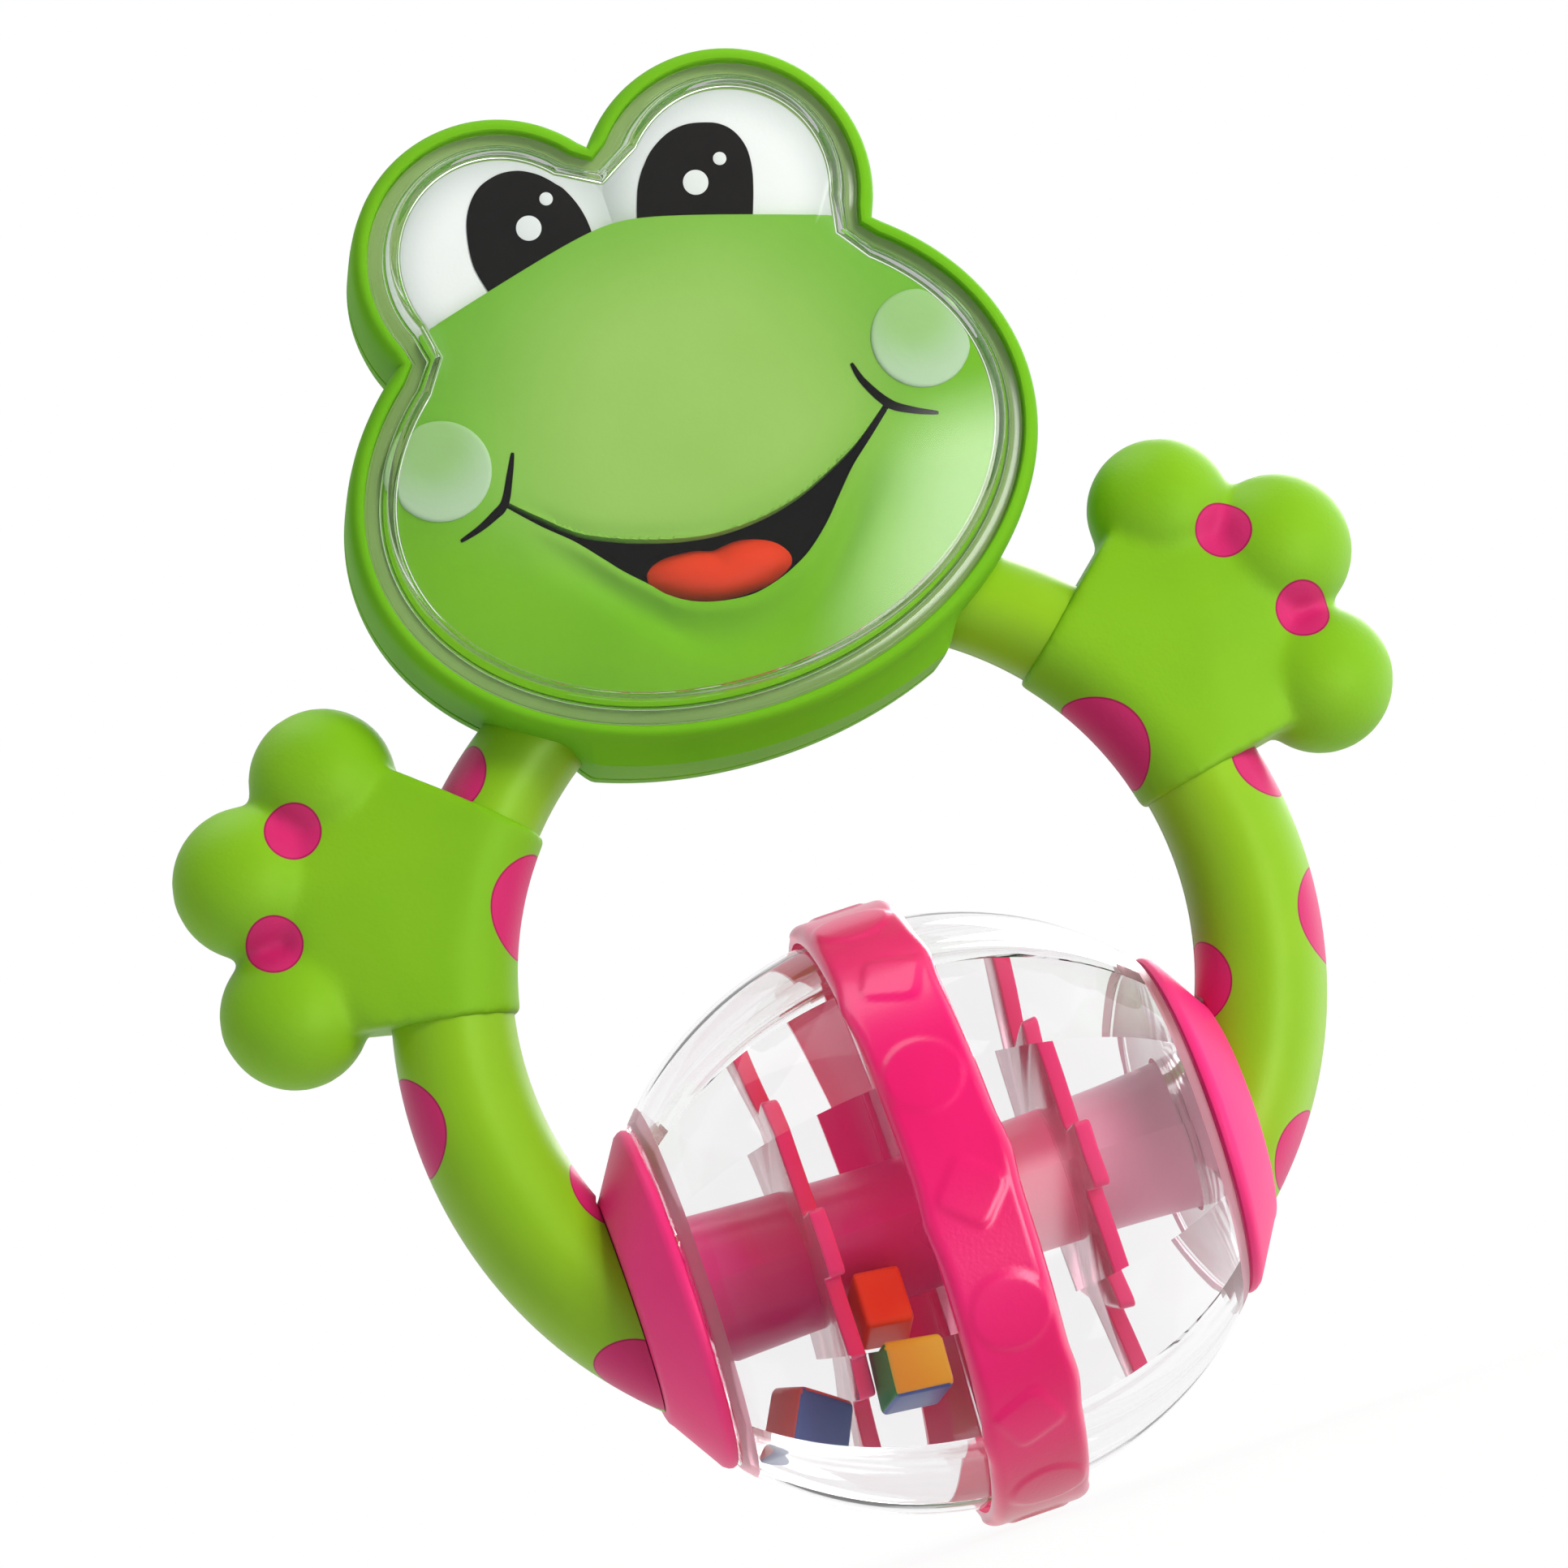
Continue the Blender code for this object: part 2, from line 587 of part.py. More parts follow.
def build_casing(look, screw_look):
    front, ledge_inset = -CASE_FRONT, BEZEL_WIDTH
    skirt_y = front + SKIRT_START
    rings = [
        at_depth(inset(PLAIN, ledge_inset), front),
        at_depth(inset(PLAIN, BEZEL_EDGE), front),
        at_depth(inset(PLAIN, BEZEL_EDGE * 0.3), front + BEZEL_EDGE * 0.7),
        at_depth(PLAIN, front + BEZEL_EDGE * 1.8),
        at_depth(CHIN, skirt_y),
        at_depth(CHIN, CASE_PARTING),
        at_depth(inset(CHIN, CASE_WALL), CASE_PARTING),
        at_depth(inset(CHIN, CASE_WALL), skirt_y),
        at_depth(inset(PLAIN, CASE_WALL), LIP_REAR_Y),
        at_depth(inset(PLAIN, LIP_INSET), LIP_REAR_Y),
        at_depth(inset(PLAIN, LIP_INSET), SEAT_Y),
        at_depth(inset(PLAIN, ledge_inset), SEAT_Y),
    ]
    shell = make_object("head_front_shell", loft(rings, wrap=True), look)
    rear = CASE_PARTING + FIT_GAP
    cover_rings = [
        at_depth(inset(CHIN, CASE_WALL + BACK_EDGE / 3), CASE_BACK - BACK_WALL),
        at_depth(inset(CHIN, CASE_WALL), rear),
        at_depth(CHIN, rear),
        at_depth(CHIN, CASE_BACK - 1.5 * BACK_EDGE),
        at_depth(inset(CHIN, BACK_EDGE * 0.3), CASE_BACK - BACK_EDGE * 0.6),
        at_depth(inset(CHIN, BACK_EDGE), CASE_BACK),
    ]
    cover = make_object("head_rear_cover", loft(cover_rings), look)
    bosses, holes = bmesh.new(), bmesh.new()
    boss_front = FACE_REAR_Y + RUN_GAP
    head_y = CASE_BACK - SCREW_HEAD - FIT_GAP
    tip_y = head_y - SCREW_LENGTH
    sink_y = head_y - FIT_GAP
    for place, root in screw_seats():
        prism(lozenge(place, root, BOSS_RADIUS), boss_front, CASE_PARTING - FIT_GAP, bosses)
        pilot = circle(*place, SCREW_RADIUS + FIT_GAP, SCREW_SIDES)
        sink = circle(*place, SCREW_HEAD_RADIUS + FIT_GAP, SCREW_SIDES)
        steps = ((pilot, tip_y - FIT_GAP), (pilot, sink_y), (sink, sink_y), (sink, CASE_BACK + OVERCUT))
        loft([at_depth(outline, y) for outline, y in steps], shape=holes)
    cut(shell, make_object("screw_bosses", bosses), "UNION")
    sockets = (make_object("screw_holes", holes), arm_cutter("head_arm_sockets"))
    for piece in (shell, cover):
        for cutter in sockets:
            cut(piece, cutter)
    for k, (place, _) in enumerate(screw_seats()):
        build_screw(k + 1, place, tip_y, head_y, screw_look)


def build_screw(number, place, tip_y, head_y, look):
    x, z = place
    top = head_y + SCREW_HEAD
    rings = [
        at_depth(circle(x, z, SCREW_RADIUS / 2, SCREW_SIDES), tip_y),
        at_depth(circle(x, z, SCREW_RADIUS, SCREW_SIDES), tip_y + SCREW_RADIUS),
        at_depth(circle(x, z, SCREW_RADIUS, SCREW_SIDES), head_y),
        at_depth(circle(x, z, SCREW_HEAD_RADIUS, SCREW_SIDES), head_y),
        at_depth(circle(x, z, SCREW_HEAD_RADIUS, SCREW_SIDES), top),
    ]
    screw = make_object(f"head_screw_{number}", loft(rings), look)
    reach, half = SCREW_HEAD_RADIUS * 0.7, SCREW_SLOT / 2
    for direction, (wide, tall) in (("across", (reach, half)), ("up", (half, reach))):
        slot = block((x - wide, top - SCREW_HEAD / 2, z - tall), (x + wide, top + OVERCUT, z + tall))
        cut(screw, make_object(f"head_screw_{number}_{direction}", slot))


def build_window(look):
    rim = BEZEL_WIDTH + FIT_GAP
    base = SEAT_Y - FIT_GAP
    flange = base - WINDOW_FLANGE
    step = flange - WINDOW_STEP
    top = inset(PLAIN, rim + WINDOW_STEP_INSET + WINDOW_SHOULDER)
    under = inset(PLAIN, LIP_INSET)
    inner_step = step + WINDOW_SHOULDER
    rings = crowned(under, inner_step, WINDOW_CROWN, reversed(DOME_SHARES))
    rings += [
        at_depth(under, inner_step),
        at_depth(under, base),
        at_depth(inset(PLAIN, rim), base),
        at_depth(inset(PLAIN, rim), flange),
        at_depth(inset(PLAIN, rim + WINDOW_STEP_INSET * 0.8), flange - WINDOW_STEP * 0.08),
        at_depth(inset(PLAIN, rim + WINDOW_STEP_INSET), step + WINDOW_SHOULDER * 0.7),
        at_depth(inset(PLAIN, rim + WINDOW_STEP_INSET + WINDOW_SHOULDER * 0.3), step + WINDOW_SHOULDER * 0.25),
        at_depth(top, step),
    ]
    rings += crowned(top, step - (WINDOW_WALL - WINDOW_SHOULDER), WINDOW_CROWN, DOME_SHARES)
    make_object("face_window", loft(rings), look)


def arch_z(x):
    return HEAD_Z + ARCH_TOP - ARCH_DROP * (x / HEAD_HALF_WIDTH) ** 2


def mouth_curve(middle, x):
    rise = MOUTH_CORNER - middle
    return HEAD_Z + middle + rise * (x / MOUTH_HALF_WIDTH) ** 2


def mouth_outline():
    across = steps_between(-MOUTH_HALF_WIDTH, MOUTH_HALF_WIDTH, 12)
    upper = [(x, mouth_curve(MOUTH_TOP, x)) for x in across]
    lower = [(x, mouth_curve(MOUTH_BOTTOM, x)) for x in across[1:-1]]
    return lower + upper[::-1]


def build_face(looks):
    reach = 2 * HEAD_HALF_WIDTH
    across = steps_between(-reach / 2, reach / 2, 24)
    arch = [(x, arch_z(x)) for x in across]
    floor, roof = HEAD_Z - reach, HEAD_Z + reach
    below = [(x, z - FIT_GAP / 2) for x, z in arch] + [(reach / 2, floor), (-reach / 2, floor)]
    above = [(x, z + FIT_GAP / 2) for x, z in arch] + [(reach / 2, roof), (-reach / 2, roof)]
    rim = inset(PLAIN, FACE_INSET)
    rim_y = FACE_REAR_Y - FACE_EDGE
    dome = [at_depth(rim, FACE_REAR_Y), at_depth(rim, rim_y)] + crowned(rim, rim_y, FACE_CROWN, DOME_SHARES)
    plate = make_object("face_plate", loft(dome), looks["face"])
    cut(plate, make_object("muzzle_region", prism(below, -reach, reach)), "INTERSECT")
    cut(plate, make_object("mouth_opening", prism(mouth_outline(), -reach, reach)))
    eye_front = FACE_REAR_Y - EYE_PLATE
    eyes = make_object("eye_insert", prism(rim, FACE_REAR_Y, eye_front), looks["eye"])
    cut(eyes, make_object("eye_region", prism(above, -reach, reach)), "INTERSECT")
    mouth_front = FACE_REAR_Y - MOUTH_PLATE
    mouth = prism(inset(mouth_outline(), FIT_GAP), FACE_REAR_Y, mouth_front)
    make_object("mouth_insert", mouth, looks["mouth"])
    build_tongue(mouth_front - FIT_GAP, looks["tongue"])
    build_pupils(eye_front - FIT_GAP, looks["pupil"])


def build_tongue(rear_y, look):
    shares = steps_between(-1.0, 1.0, 14)
    lower, upper = [], []
    for share in shares:
        x = TONGUE_CENTRE + TONGUE_HALF_WIDTH * share
        lower.append((x, mouth_curve(MOUTH_BOTTOM, x) + 2 * FIT_GAP))
        groove = 0.25 * math.exp(-((share / 0.2) ** 2))
        upper.append((x, HEAD_Z + TONGUE_MIDDLE + TONGUE_RISE * (math.sqrt(1 - share * share) - groove)))
    outline = lower[1:-1] + upper[::-1]
    middle_x = TONGUE_CENTRE
    middle_z = HEAD_Z + TONGUE_MIDDLE
    rings = [at_depth(outline, rear_y), at_depth(outline, rear_y - FIT_GAP)]
    for share in (0.94, 0.75, 0.4):
        small = [(middle_x + (x - middle_x) * share, middle_z + (z - middle_z) * share) for x, z in outline]
        rings.append(at_depth(small, rear_y - TONGUE_CROWN * (1 - share**4)))
    make_object("tongue", loft(rings), look)


def build_pupils(rear_y, look):
    for name, side in SIDES:
        base_z = arch_z(PUPIL_OUT) + 2 * FIT_GAP
        lean = Matrix.Rotation(-side * math.radians(PUPIL_LEAN), 2)
        outline = []
        for angle in steps_between(0.0, math.pi, 16):
            x, z = PUPIL_HALF_WIDTH * math.cos(angle), PUPIL_RISE * math.sin(angle)
            turned_x, turned_z = lean @ Vector((x, z))
            outline.append((side * PUPIL_OUT + turned_x, base_z + turned_z))
        make_object(f"{name}_pupil", prism(outline, rear_y, rear_y - PUPIL_THICKNESS), look)


def main():
    clear_scene()
    green = material("leaf_green_plastic", (0.19, 0.49, 0.02), 0.35)
    face_green = material("light_green_plastic", (0.27, 0.57, 0.1), 0.4)
    clear = material("clear_plastic", (1.0, 1.0, 1.0), 0.03, transmission=1.0)
    pink = material("pink_plastic", (0.76, 0.02, 0.15), 0.4)
    band = material("translucent_pink_rubber", (0.8, 0.015, 0.14), 0.2, transmission=0.25)
    spool = material("deep_pink_plastic", (0.74, 0.05, 0.2), 0.3)
    steel = material("plated_steel", (0.7, 0.7, 0.7), 0.3, metallic=1.0)
    bush = material("white_acetal", (0.85, 0.85, 0.82), 0.4)
    ball = pivot("ball_pivot", (0, 0, AXLE_Z))
    build_casing(green, steel)
    build_window(clear)
    build_face(
        {
            "face": face_green,
            "eye": material("white_plastic", (0.78, 0.8, 0.79), 0.3),
            "mouth": material("black_plastic", (0.01, 0.01, 0.01), 0.4),
            "tongue": material("red_plastic", (0.75, 0.06, 0.02), 0.35),
            "pupil": material("gloss_black_plastic", (0.01, 0.008, 0.008), 0.25),
        }
    )
    build_arms(green)
    build_hands(material("soft_green_rubber", (0.21, 0.5, 0.025), 0.5))
    build_collars({"collar": pink, "axle": steel})
    build_ball({"clear": clear, "band": band, "spool": spool, "bush": bush}, ball)
    build_beads(
        {
            "bead_red_blue": material("red_bead_plastic", (0.58, 0.07, 0.05), 0.35),
            "bead_green_yellow": material("yellow_bead_plastic", (0.58, 0.35, 0.03), 0.35),
            "bead_orange": material("orange_bead_plastic", (0.83, 0.08, 0.02), 0.35),
        }
    )


main()
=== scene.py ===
import math

import bmesh
import bpy
from mathutils import Matrix, Vector


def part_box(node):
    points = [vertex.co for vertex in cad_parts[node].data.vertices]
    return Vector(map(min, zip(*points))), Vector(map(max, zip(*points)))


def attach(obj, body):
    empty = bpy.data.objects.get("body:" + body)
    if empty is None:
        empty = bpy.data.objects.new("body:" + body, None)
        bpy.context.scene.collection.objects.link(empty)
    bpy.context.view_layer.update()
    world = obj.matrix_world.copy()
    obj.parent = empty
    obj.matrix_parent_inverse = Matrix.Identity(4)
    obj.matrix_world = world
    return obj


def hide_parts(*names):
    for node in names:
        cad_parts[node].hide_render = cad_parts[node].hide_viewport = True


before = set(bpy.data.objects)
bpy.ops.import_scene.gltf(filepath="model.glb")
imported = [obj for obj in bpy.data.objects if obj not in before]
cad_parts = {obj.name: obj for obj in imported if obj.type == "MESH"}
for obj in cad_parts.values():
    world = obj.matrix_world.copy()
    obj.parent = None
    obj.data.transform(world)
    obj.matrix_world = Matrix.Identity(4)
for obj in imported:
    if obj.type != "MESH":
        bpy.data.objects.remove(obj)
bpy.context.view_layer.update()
scene = bpy.context.scene
scene.view_settings.view_transform = "Standard"
cycles = scene.cycles
cycles.max_bounces = cycles.glossy_bounces = cycles.transmission_bounces = 32  # light runs far inside clear walls

mm = 0.001
weld = 0.002 * mm  # points closer than this are one
axleZ = 34.2 * mm  # the ball's axle
ringZ = 61.5 * mm  # centre of the ring
headZ = 117.7 * mm  # centre of the face
white = (1, 1, 1, 1)
sides = (("left", -1), ("right", 1))

view = {
    "target": (-0.73, 0.0, 83.3), "distance": 720.0, "azimuth": -6.7, "elevation": -5.5, "roll": 18.74,
    "lens": 152.65, "sensor": 36.0, "clip": (0.01, 20.0),
}


def aimAlong(place, direction):
    return Matrix.Translation(place) @ direction.to_track_quat("-Z", "Y").to_matrix().to_4x4()


def addCamera():
    turn, lift = math.radians(view["azimuth"]), math.radians(view["elevation"])
    back = Vector((math.sin(turn) * math.cos(lift), -math.cos(turn) * math.cos(lift), math.sin(lift)))
    lens = bpy.data.cameras.new("photoCamera")
    lens.lens, lens.sensor_width, lens.sensor_fit = view["lens"], view["sensor"], "HORIZONTAL"
    lens.clip_start, lens.clip_end = view["clip"]
    camera = bpy.data.objects.new("photoCamera", lens)
    place = Vector(view["target"]) * mm + back * view["distance"] * mm
    camera.matrix_world = aimAlong(place, -back) @ Matrix.Rotation(math.radians(-view["roll"]), 4, "Z")
    scene.collection.objects.link(camera)
    scene.camera = camera


lamps = {  # metres and watts
    "key": {"at": (0.84, -0.96, 0.7), "size": 0.6, "power": 16.5, "color": (1.0, 0.95, 0.86)},
    "fill": {"at": (-0.95, -0.8, 0.35), "size": 0.8, "power": 0.6, "color": (0.88, 1.0, 0.94)},
    "top": {"at": (-0.1, 0.1, 1.1), "size": 0.8, "power": 4.0},
    "rim": {"at": (0.6, 0.9, 0.5), "size": 0.6, "power": 6.0},
}
lampTarget = Vector((0, 0, 0.08))


def addLamps():
    for name, lamp in lamps.items():
        light = bpy.data.lights.new(name, "AREA")
        light.size, light.energy = lamp["size"], lamp["power"]
        light.color = lamp.get("color", (1, 1, 1))
        holder = bpy.data.objects.new(name, light)
        place = Vector(lamp["at"])
        holder.matrix_world = aimAlong(place, lampTarget - place)
        # the room's soft box stands for the key lamp in reflections
        holder.visible_glossy = holder.visible_transmission = name != "key"
        scene.collection.objects.link(holder)


# an input is a plain value or another node's output
def setInputs(node, inputs):
    for name, value in inputs.items():
        if isinstance(value, bpy.types.NodeSocket):
            node.id_data.links.new(value, node.inputs[name])
        else:
            node.inputs[name].default_value = value


def addNode(tree, kind, inputs=(), **settings):
    node = tree.nodes.new("ShaderNode" + kind)
    for name, value in settings.items():
        setattr(node, name, value)
    setInputs(node, dict(inputs))
    return node


def addMath(tree, operation, *values):
    return addNode(tree, "Math", enumerate(values), operation=operation).outputs[0]


def addMix(tree, share, first, second):
    return addNode(tree, "Mix", {0: share, 6: first, 7: second}, data_type="RGBA").outputs[2]


def addFade(tree, value, low, high, floor=0.0):
    span = {"Value": value, "From Min": low, "From Max": high, "To Min": floor}
    return addNode(tree, "MapRange", span, interpolation_type="SMOOTHSTEP").outputs[0]


def addDistance(tree, point, place):
    return addNode(tree, "VectorMath", {0: point, 1: place}, operation="DISTANCE").outputs["Value"]


def objectPoint(tree):
    return addNode(tree, "TexCoord").outputs["Object"]


def splitPoint(tree, point):
    return addNode(tree, "SeparateXYZ", {0: point}).outputs


def addNoise(tree, scale, detail=2.0):
    point = objectPoint(tree)
    return addNode(tree, "TexNoise", {"Vector": point, "Scale": scale, "Detail": detail}).outputs["Fac"]


def mixShaders(tree, share, first, second):
    return addNode(tree, "MixShader", {0: share, 1: first.outputs[0], 2: second.outputs[0]})


def seenRays(tree, *names):
    rays = addNode(tree, "LightPath").outputs
    total = rays[names[0]]
    for name in names[1:]:
        total = addMath(tree, "MAXIMUM", total, rays[name])
    return total


room = {  # directions run from -1 to 1
    "ambient": 0.26,  # light on matt surfaces
    "dark": 0.08, "darkFade": (-0.45, 0.2),  # what gloss shows on the camera's side, and where that turns white
    "clear": 0.5, "clearFade": (-0.6, 0.3),  # the same for glass
    "box": 11.0, "boxLean": 0.28, "boxFront": (-0.3, -0.5),  # a tall soft box, for reflections
    "boxSides": (0.24, 0.44, 0.55, 0.68), "boxEnds": (-0.55, -0.38, 0.0, 0.17),
    "wall": 1.6, "wallSides": (0.5, 0.9),  # and a pale wall on the right
}


def addRoom():
    world = bpy.data.worlds.new("studio")
    scene.world = world
    world.use_nodes = True
    tree = world.node_tree
    way = splitPoint(tree, addNode(tree, "TexCoord").outputs["Generated"])
    across = addMath(tree, "SUBTRACT", way["X"], addMath(tree, "MULTIPLY", way["Z"], room["boxLean"]))
    glow = addFade(tree, way["Y"], *room["boxFront"])
    for value, (low, lowFull, highFull, high) in ((across, room["boxSides"]), (way["Z"], room["boxEnds"])):
        for edge in ((low, lowFull), (high, highFull)):
            glow = addMath(tree, "MULTIPLY", glow, addFade(tree, value, *edge))
    glow = addMath(tree, "MULTIPLY", glow, room["box"])
    wall = addMath(tree, "MULTIPLY", addFade(tree, way["X"], *room["wallSides"]), room["wall"])
    glow = addMath(tree, "ADD", glow, wall)
    mirror = addMath(tree, "ADD", addFade(tree, way["Y"], *room["darkFade"], room["dark"]), glow)
    through = addFade(tree, way["Y"], *room["clearFade"], room["clear"])
    seen = addNode(tree, "Background", {"Color": white, "Strength": room["ambient"]})
    for ray, level in (("Is Glossy Ray", mirror), ("Is Transmission Ray", through), ("Is Camera Ray", 1.0)):
        light = addNode(tree, "Background", {"Color": white, "Strength": level})
        seen = mixShaders(tree, seenRays(tree, ray), seen, light)
    setInputs(tree.nodes["World Output"], {"Surface": seen.outputs[0]})


def newFinish(name):
    look = bpy.data.materials.new(name)
    look.use_nodes = True
    return look, look.node_tree, look.node_tree.nodes["Principled BSDF"]


def meshObject(name, bm):
    mesh = bpy.data.meshes.new(name)
    bm.to_mesh(mesh)
    bm.free()
    made = bpy.data.objects.new(name, mesh)
    scene.collection.objects.link(made)
    return made


paleFloor = {
    "half": 3.0, "z": -0.0004, "color": (0.93, 0.93, 0.93, 1), "roughness": 0.9,
    "plain": 0.93, "shadowFade": (0.1, 0.4),  # the rest keeps the shadow, near the object
}


def addFloor():
    bm = bmesh.new()
    bmesh.ops.create_grid(bm, x_segments=1, y_segments=1, size=paleFloor["half"])
    bmesh.ops.translate(bm, vec=(0, 0, paleFloor["z"]), verts=bm.verts)
    floor = meshObject("floor", bm)
    look, tree, seen = newFinish("paleFloor")
    setInputs(seen, {"Base Color": paleFloor["color"], "Roughness": paleFloor["roughness"]})
    away = addFade(tree, addDistance(tree, objectPoint(tree), (0, 0, 0)), *paleFloor["shadowFade"])
    share = addMath(tree, "ADD", addMath(tree, "MULTIPLY", away, 1 - paleFloor["plain"]), paleFloor["plain"])
    mirrored = seenRays(tree, "Is Glossy Ray", "Is Transmission Ray")  # such rays see the room alone
    seen = mixShaders(tree, mirrored, seen, addNode(tree, "BsdfTransparent"))
    direct = addMath(tree, "MULTIPLY", seenRays(tree, "Is Camera Ray"), share)
    seen = mixShaders(tree, direct, seen, addNode(tree, "Emission"))
    setInputs(tree.nodes["Material Output"], {"Surface": seen.outputs[0]})
    floor.data.materials.append(look)


addCamera()
addLamps()
addRoom()
addFloor()
print("stage: camera, lamps, room and floor")


def srgb(red, green, blue):
    return tuple(((c / 255 + 0.055) / 1.055) ** 2.4 if c > 10 else c / 3294 for c in (red, green, blue)) + (1.0,)


def newGroup(name, inputs, outputs):
    tree = bpy.data.node_groups.new(name, "ShaderNodeTree")
    for sockets, way in ((inputs, "INPUT"), (outputs, "OUTPUT")):
        for socketName, kind in sockets.items():
            tree.interface.new_socket(socketName, in_out=way, socket_type="NodeSocket" + kind)
    return tree, tree.nodes.new("NodeGroupInput").outputs, tree.nodes.new("NodeGroupOutput")


moulding = {"cloud": 45.0, "cloudFade": (0.35, 0.75), "uneven": 0.12, "grain": 2200.0, "grainDepth": 0.0001}


# moulding marks: soft colour clouding, fine grain and uneven gloss
def mouldedGroup():
    tree, given, result = newGroup(
        "mouldedFinish",
        {"Color": "Color", "Shade": "Color", "Roughness": "Float", "Grain": "Float"},
        {"Color": "Color", "Roughness": "Float", "Normal": "Vector"},
    )
    cloud, grain = addNoise(tree, moulding["cloud"]), addNoise(tree, moulding["grain"], 1.0)
    share = addFade(tree, cloud, *moulding["cloudFade"])
    uneven = addMath(tree, "MULTIPLY", cloud, moulding["uneven"])
    bump = addNode(tree, "Bump", {"Distance": moulding["grainDepth"], "Strength": given["Grain"], "Height": grain})
    setInputs(result, {
        "Color": addMix(tree, share, given["Color"], given["Shade"]),
        "Roughness": addMath(tree, "ADD", given["Roughness"], uneven),
        "Normal": bump.outputs["Normal"],
    })
    return tree


moulded = mouldedGroup()


def addMoulding(tree, surface, color, shade, roughness, grain=0.12):
    values = {"Color": color, "Shade": shade, "Roughness": roughness, "Grain": grain}
    finish = addNode(tree, "Group", values, node_tree=moulded).outputs
    setInputs(surface, {"Base Color": finish["Color"], "Roughness": finish["Roughness"], "Normal": finish["Normal"]})
    return finish["Color"]


spots = {  # centre x, depth from the ring's plane, z, radius; the same on the back
    "arm": (
        (-35.6, 4.0, 95.4, 4.7), (-50.6, 1.5, 60.2, 5.6), (-33.2, 2.0, 47.6, 4.6), (-36.8, 4.6, 27.0, 5.2),
        (48.9, 3.0, 69.4, 4.6), (49.8, 1.5, 51.4, 5.4), (35.3, 2.0, 48.2, 4.7), (39.4, 2.5, 27.6, 4.7),
    ),
    "hand": (
        (-31.6, 2.0, 79.0, 5.8), (33.5, 2.0, 76.3, 6.1),
        (-53.0, None, 94.3, 3.1), (-58.6, None, 83.4, 3.1), (53.0, None, 94.3, 3.1), (58.6, None, 83.4, 3.1),
    ),
    "pink": srgb(198, 37, 106), "border": srgb(156, 17, 77), "line": 0.2, "soft": 0.05,
}


# pink printed spots with a fine darker border; a place without depth is a dot seen from front and back
def spotGroup(name):
    tree, given, result = newGroup(name + "Spots", {"Color": "Color"}, {"Color": "Color"})
    at = splitPoint(tree, objectPoint(tree))
    flat = addNode(tree, "CombineXYZ", {"X": at["X"], "Z": at["Z"]}).outputs[0]
    depth = addMath(tree, "ABSOLUTE", at["Y"])
    folded = addNode(tree, "CombineXYZ", {"X": at["X"], "Y": depth, "Z": at["Z"]}).outputs[0]
    deepest = -1.0
    for x, y, z, radius in spots[name]:
        away = addDistance(tree, flat if y is None else folded, (x * mm, (y or 0.0) * mm, z * mm))
        deepest = addMath(tree, "MAXIMUM", addMath(tree, "SUBTRACT", radius * mm, away), deepest)
    soft, line = spots["soft"] * mm, spots["line"] * mm
    mask = addFade(tree, deepest, -soft, soft)
    pink = addMix(tree, addFade(tree, deepest, line - soft, line + soft), spots["border"], spots["pink"])
    setInputs(result, {"Color": addMix(tree, mask, given["Color"], pink)})
    return tree


# rays from lamps and from matt surfaces go straight through, so that what is inside stays lit
def letLampsThrough(tree, surface, tint):
    rays = seenRays(tree, "Is Shadow Ray", "Is Diffuse Ray")
    seen = mixShaders(tree, rays, surface, addNode(tree, "BsdfTransparent", {"Color": tint}))
    setInputs(tree.nodes["Material Output"], {"Surface": seen.outputs[0]})


# moulded plastic, from its tone and the tone of its clouding
def plastic(name, color, shade, roughness, grain=0.15, spotted=None, coat=0.0, shine=0.35, clear=0.0):
    look, tree, surface = newFinish(name)
    middle = roughness - moulding["uneven"] / 2
    tint = addMoulding(tree, surface, srgb(*color), srgb(*shade), middle, grain)
    setInputs(surface, {"Specular IOR Level": shine, "Coat Weight": coat, "Coat Roughness": 0.12})
    if spotted:
        spot = addNode(tree, "Group", {"Color": tint}, node_tree=spotGroup(spotted))
        setInputs(surface, {"Base Color": spot.outputs["Color"]})
    if clear:
        setInputs(surface, {"Transmission Weight": clear})
        letLampsThrough(tree, surface, srgb(*color))
    return look


clearing = {"ripple": 90.0, "depth": 0.0004, "haze": 0.03, "hazeFade": (0.2, 0.9), "tint": (0.97, 0.98, 0.975, 1.0)}


def clearPlastic(name, tint, ior, wave):
    look, tree, surface = newFinish(name)
    ripple = addNoise(tree, clearing["ripple"], 1.0)
    bump = addNode(tree, "Bump", {"Strength": wave, "Distance": clearing["depth"], "Height": ripple})
    haze = addMath(tree, "MULTIPLY", addFade(tree, ripple, *clearing["hazeFade"]), clearing["haze"])
    setInputs(surface, {"Base Color": tint, "Transmission Weight": 1.0, "IOR": ior})
    setInputs(surface, {"Roughness": haze, "Normal": bump.outputs["Normal"]})
    letLampsThrough(tree, surface, clearing["tint"])
    return look


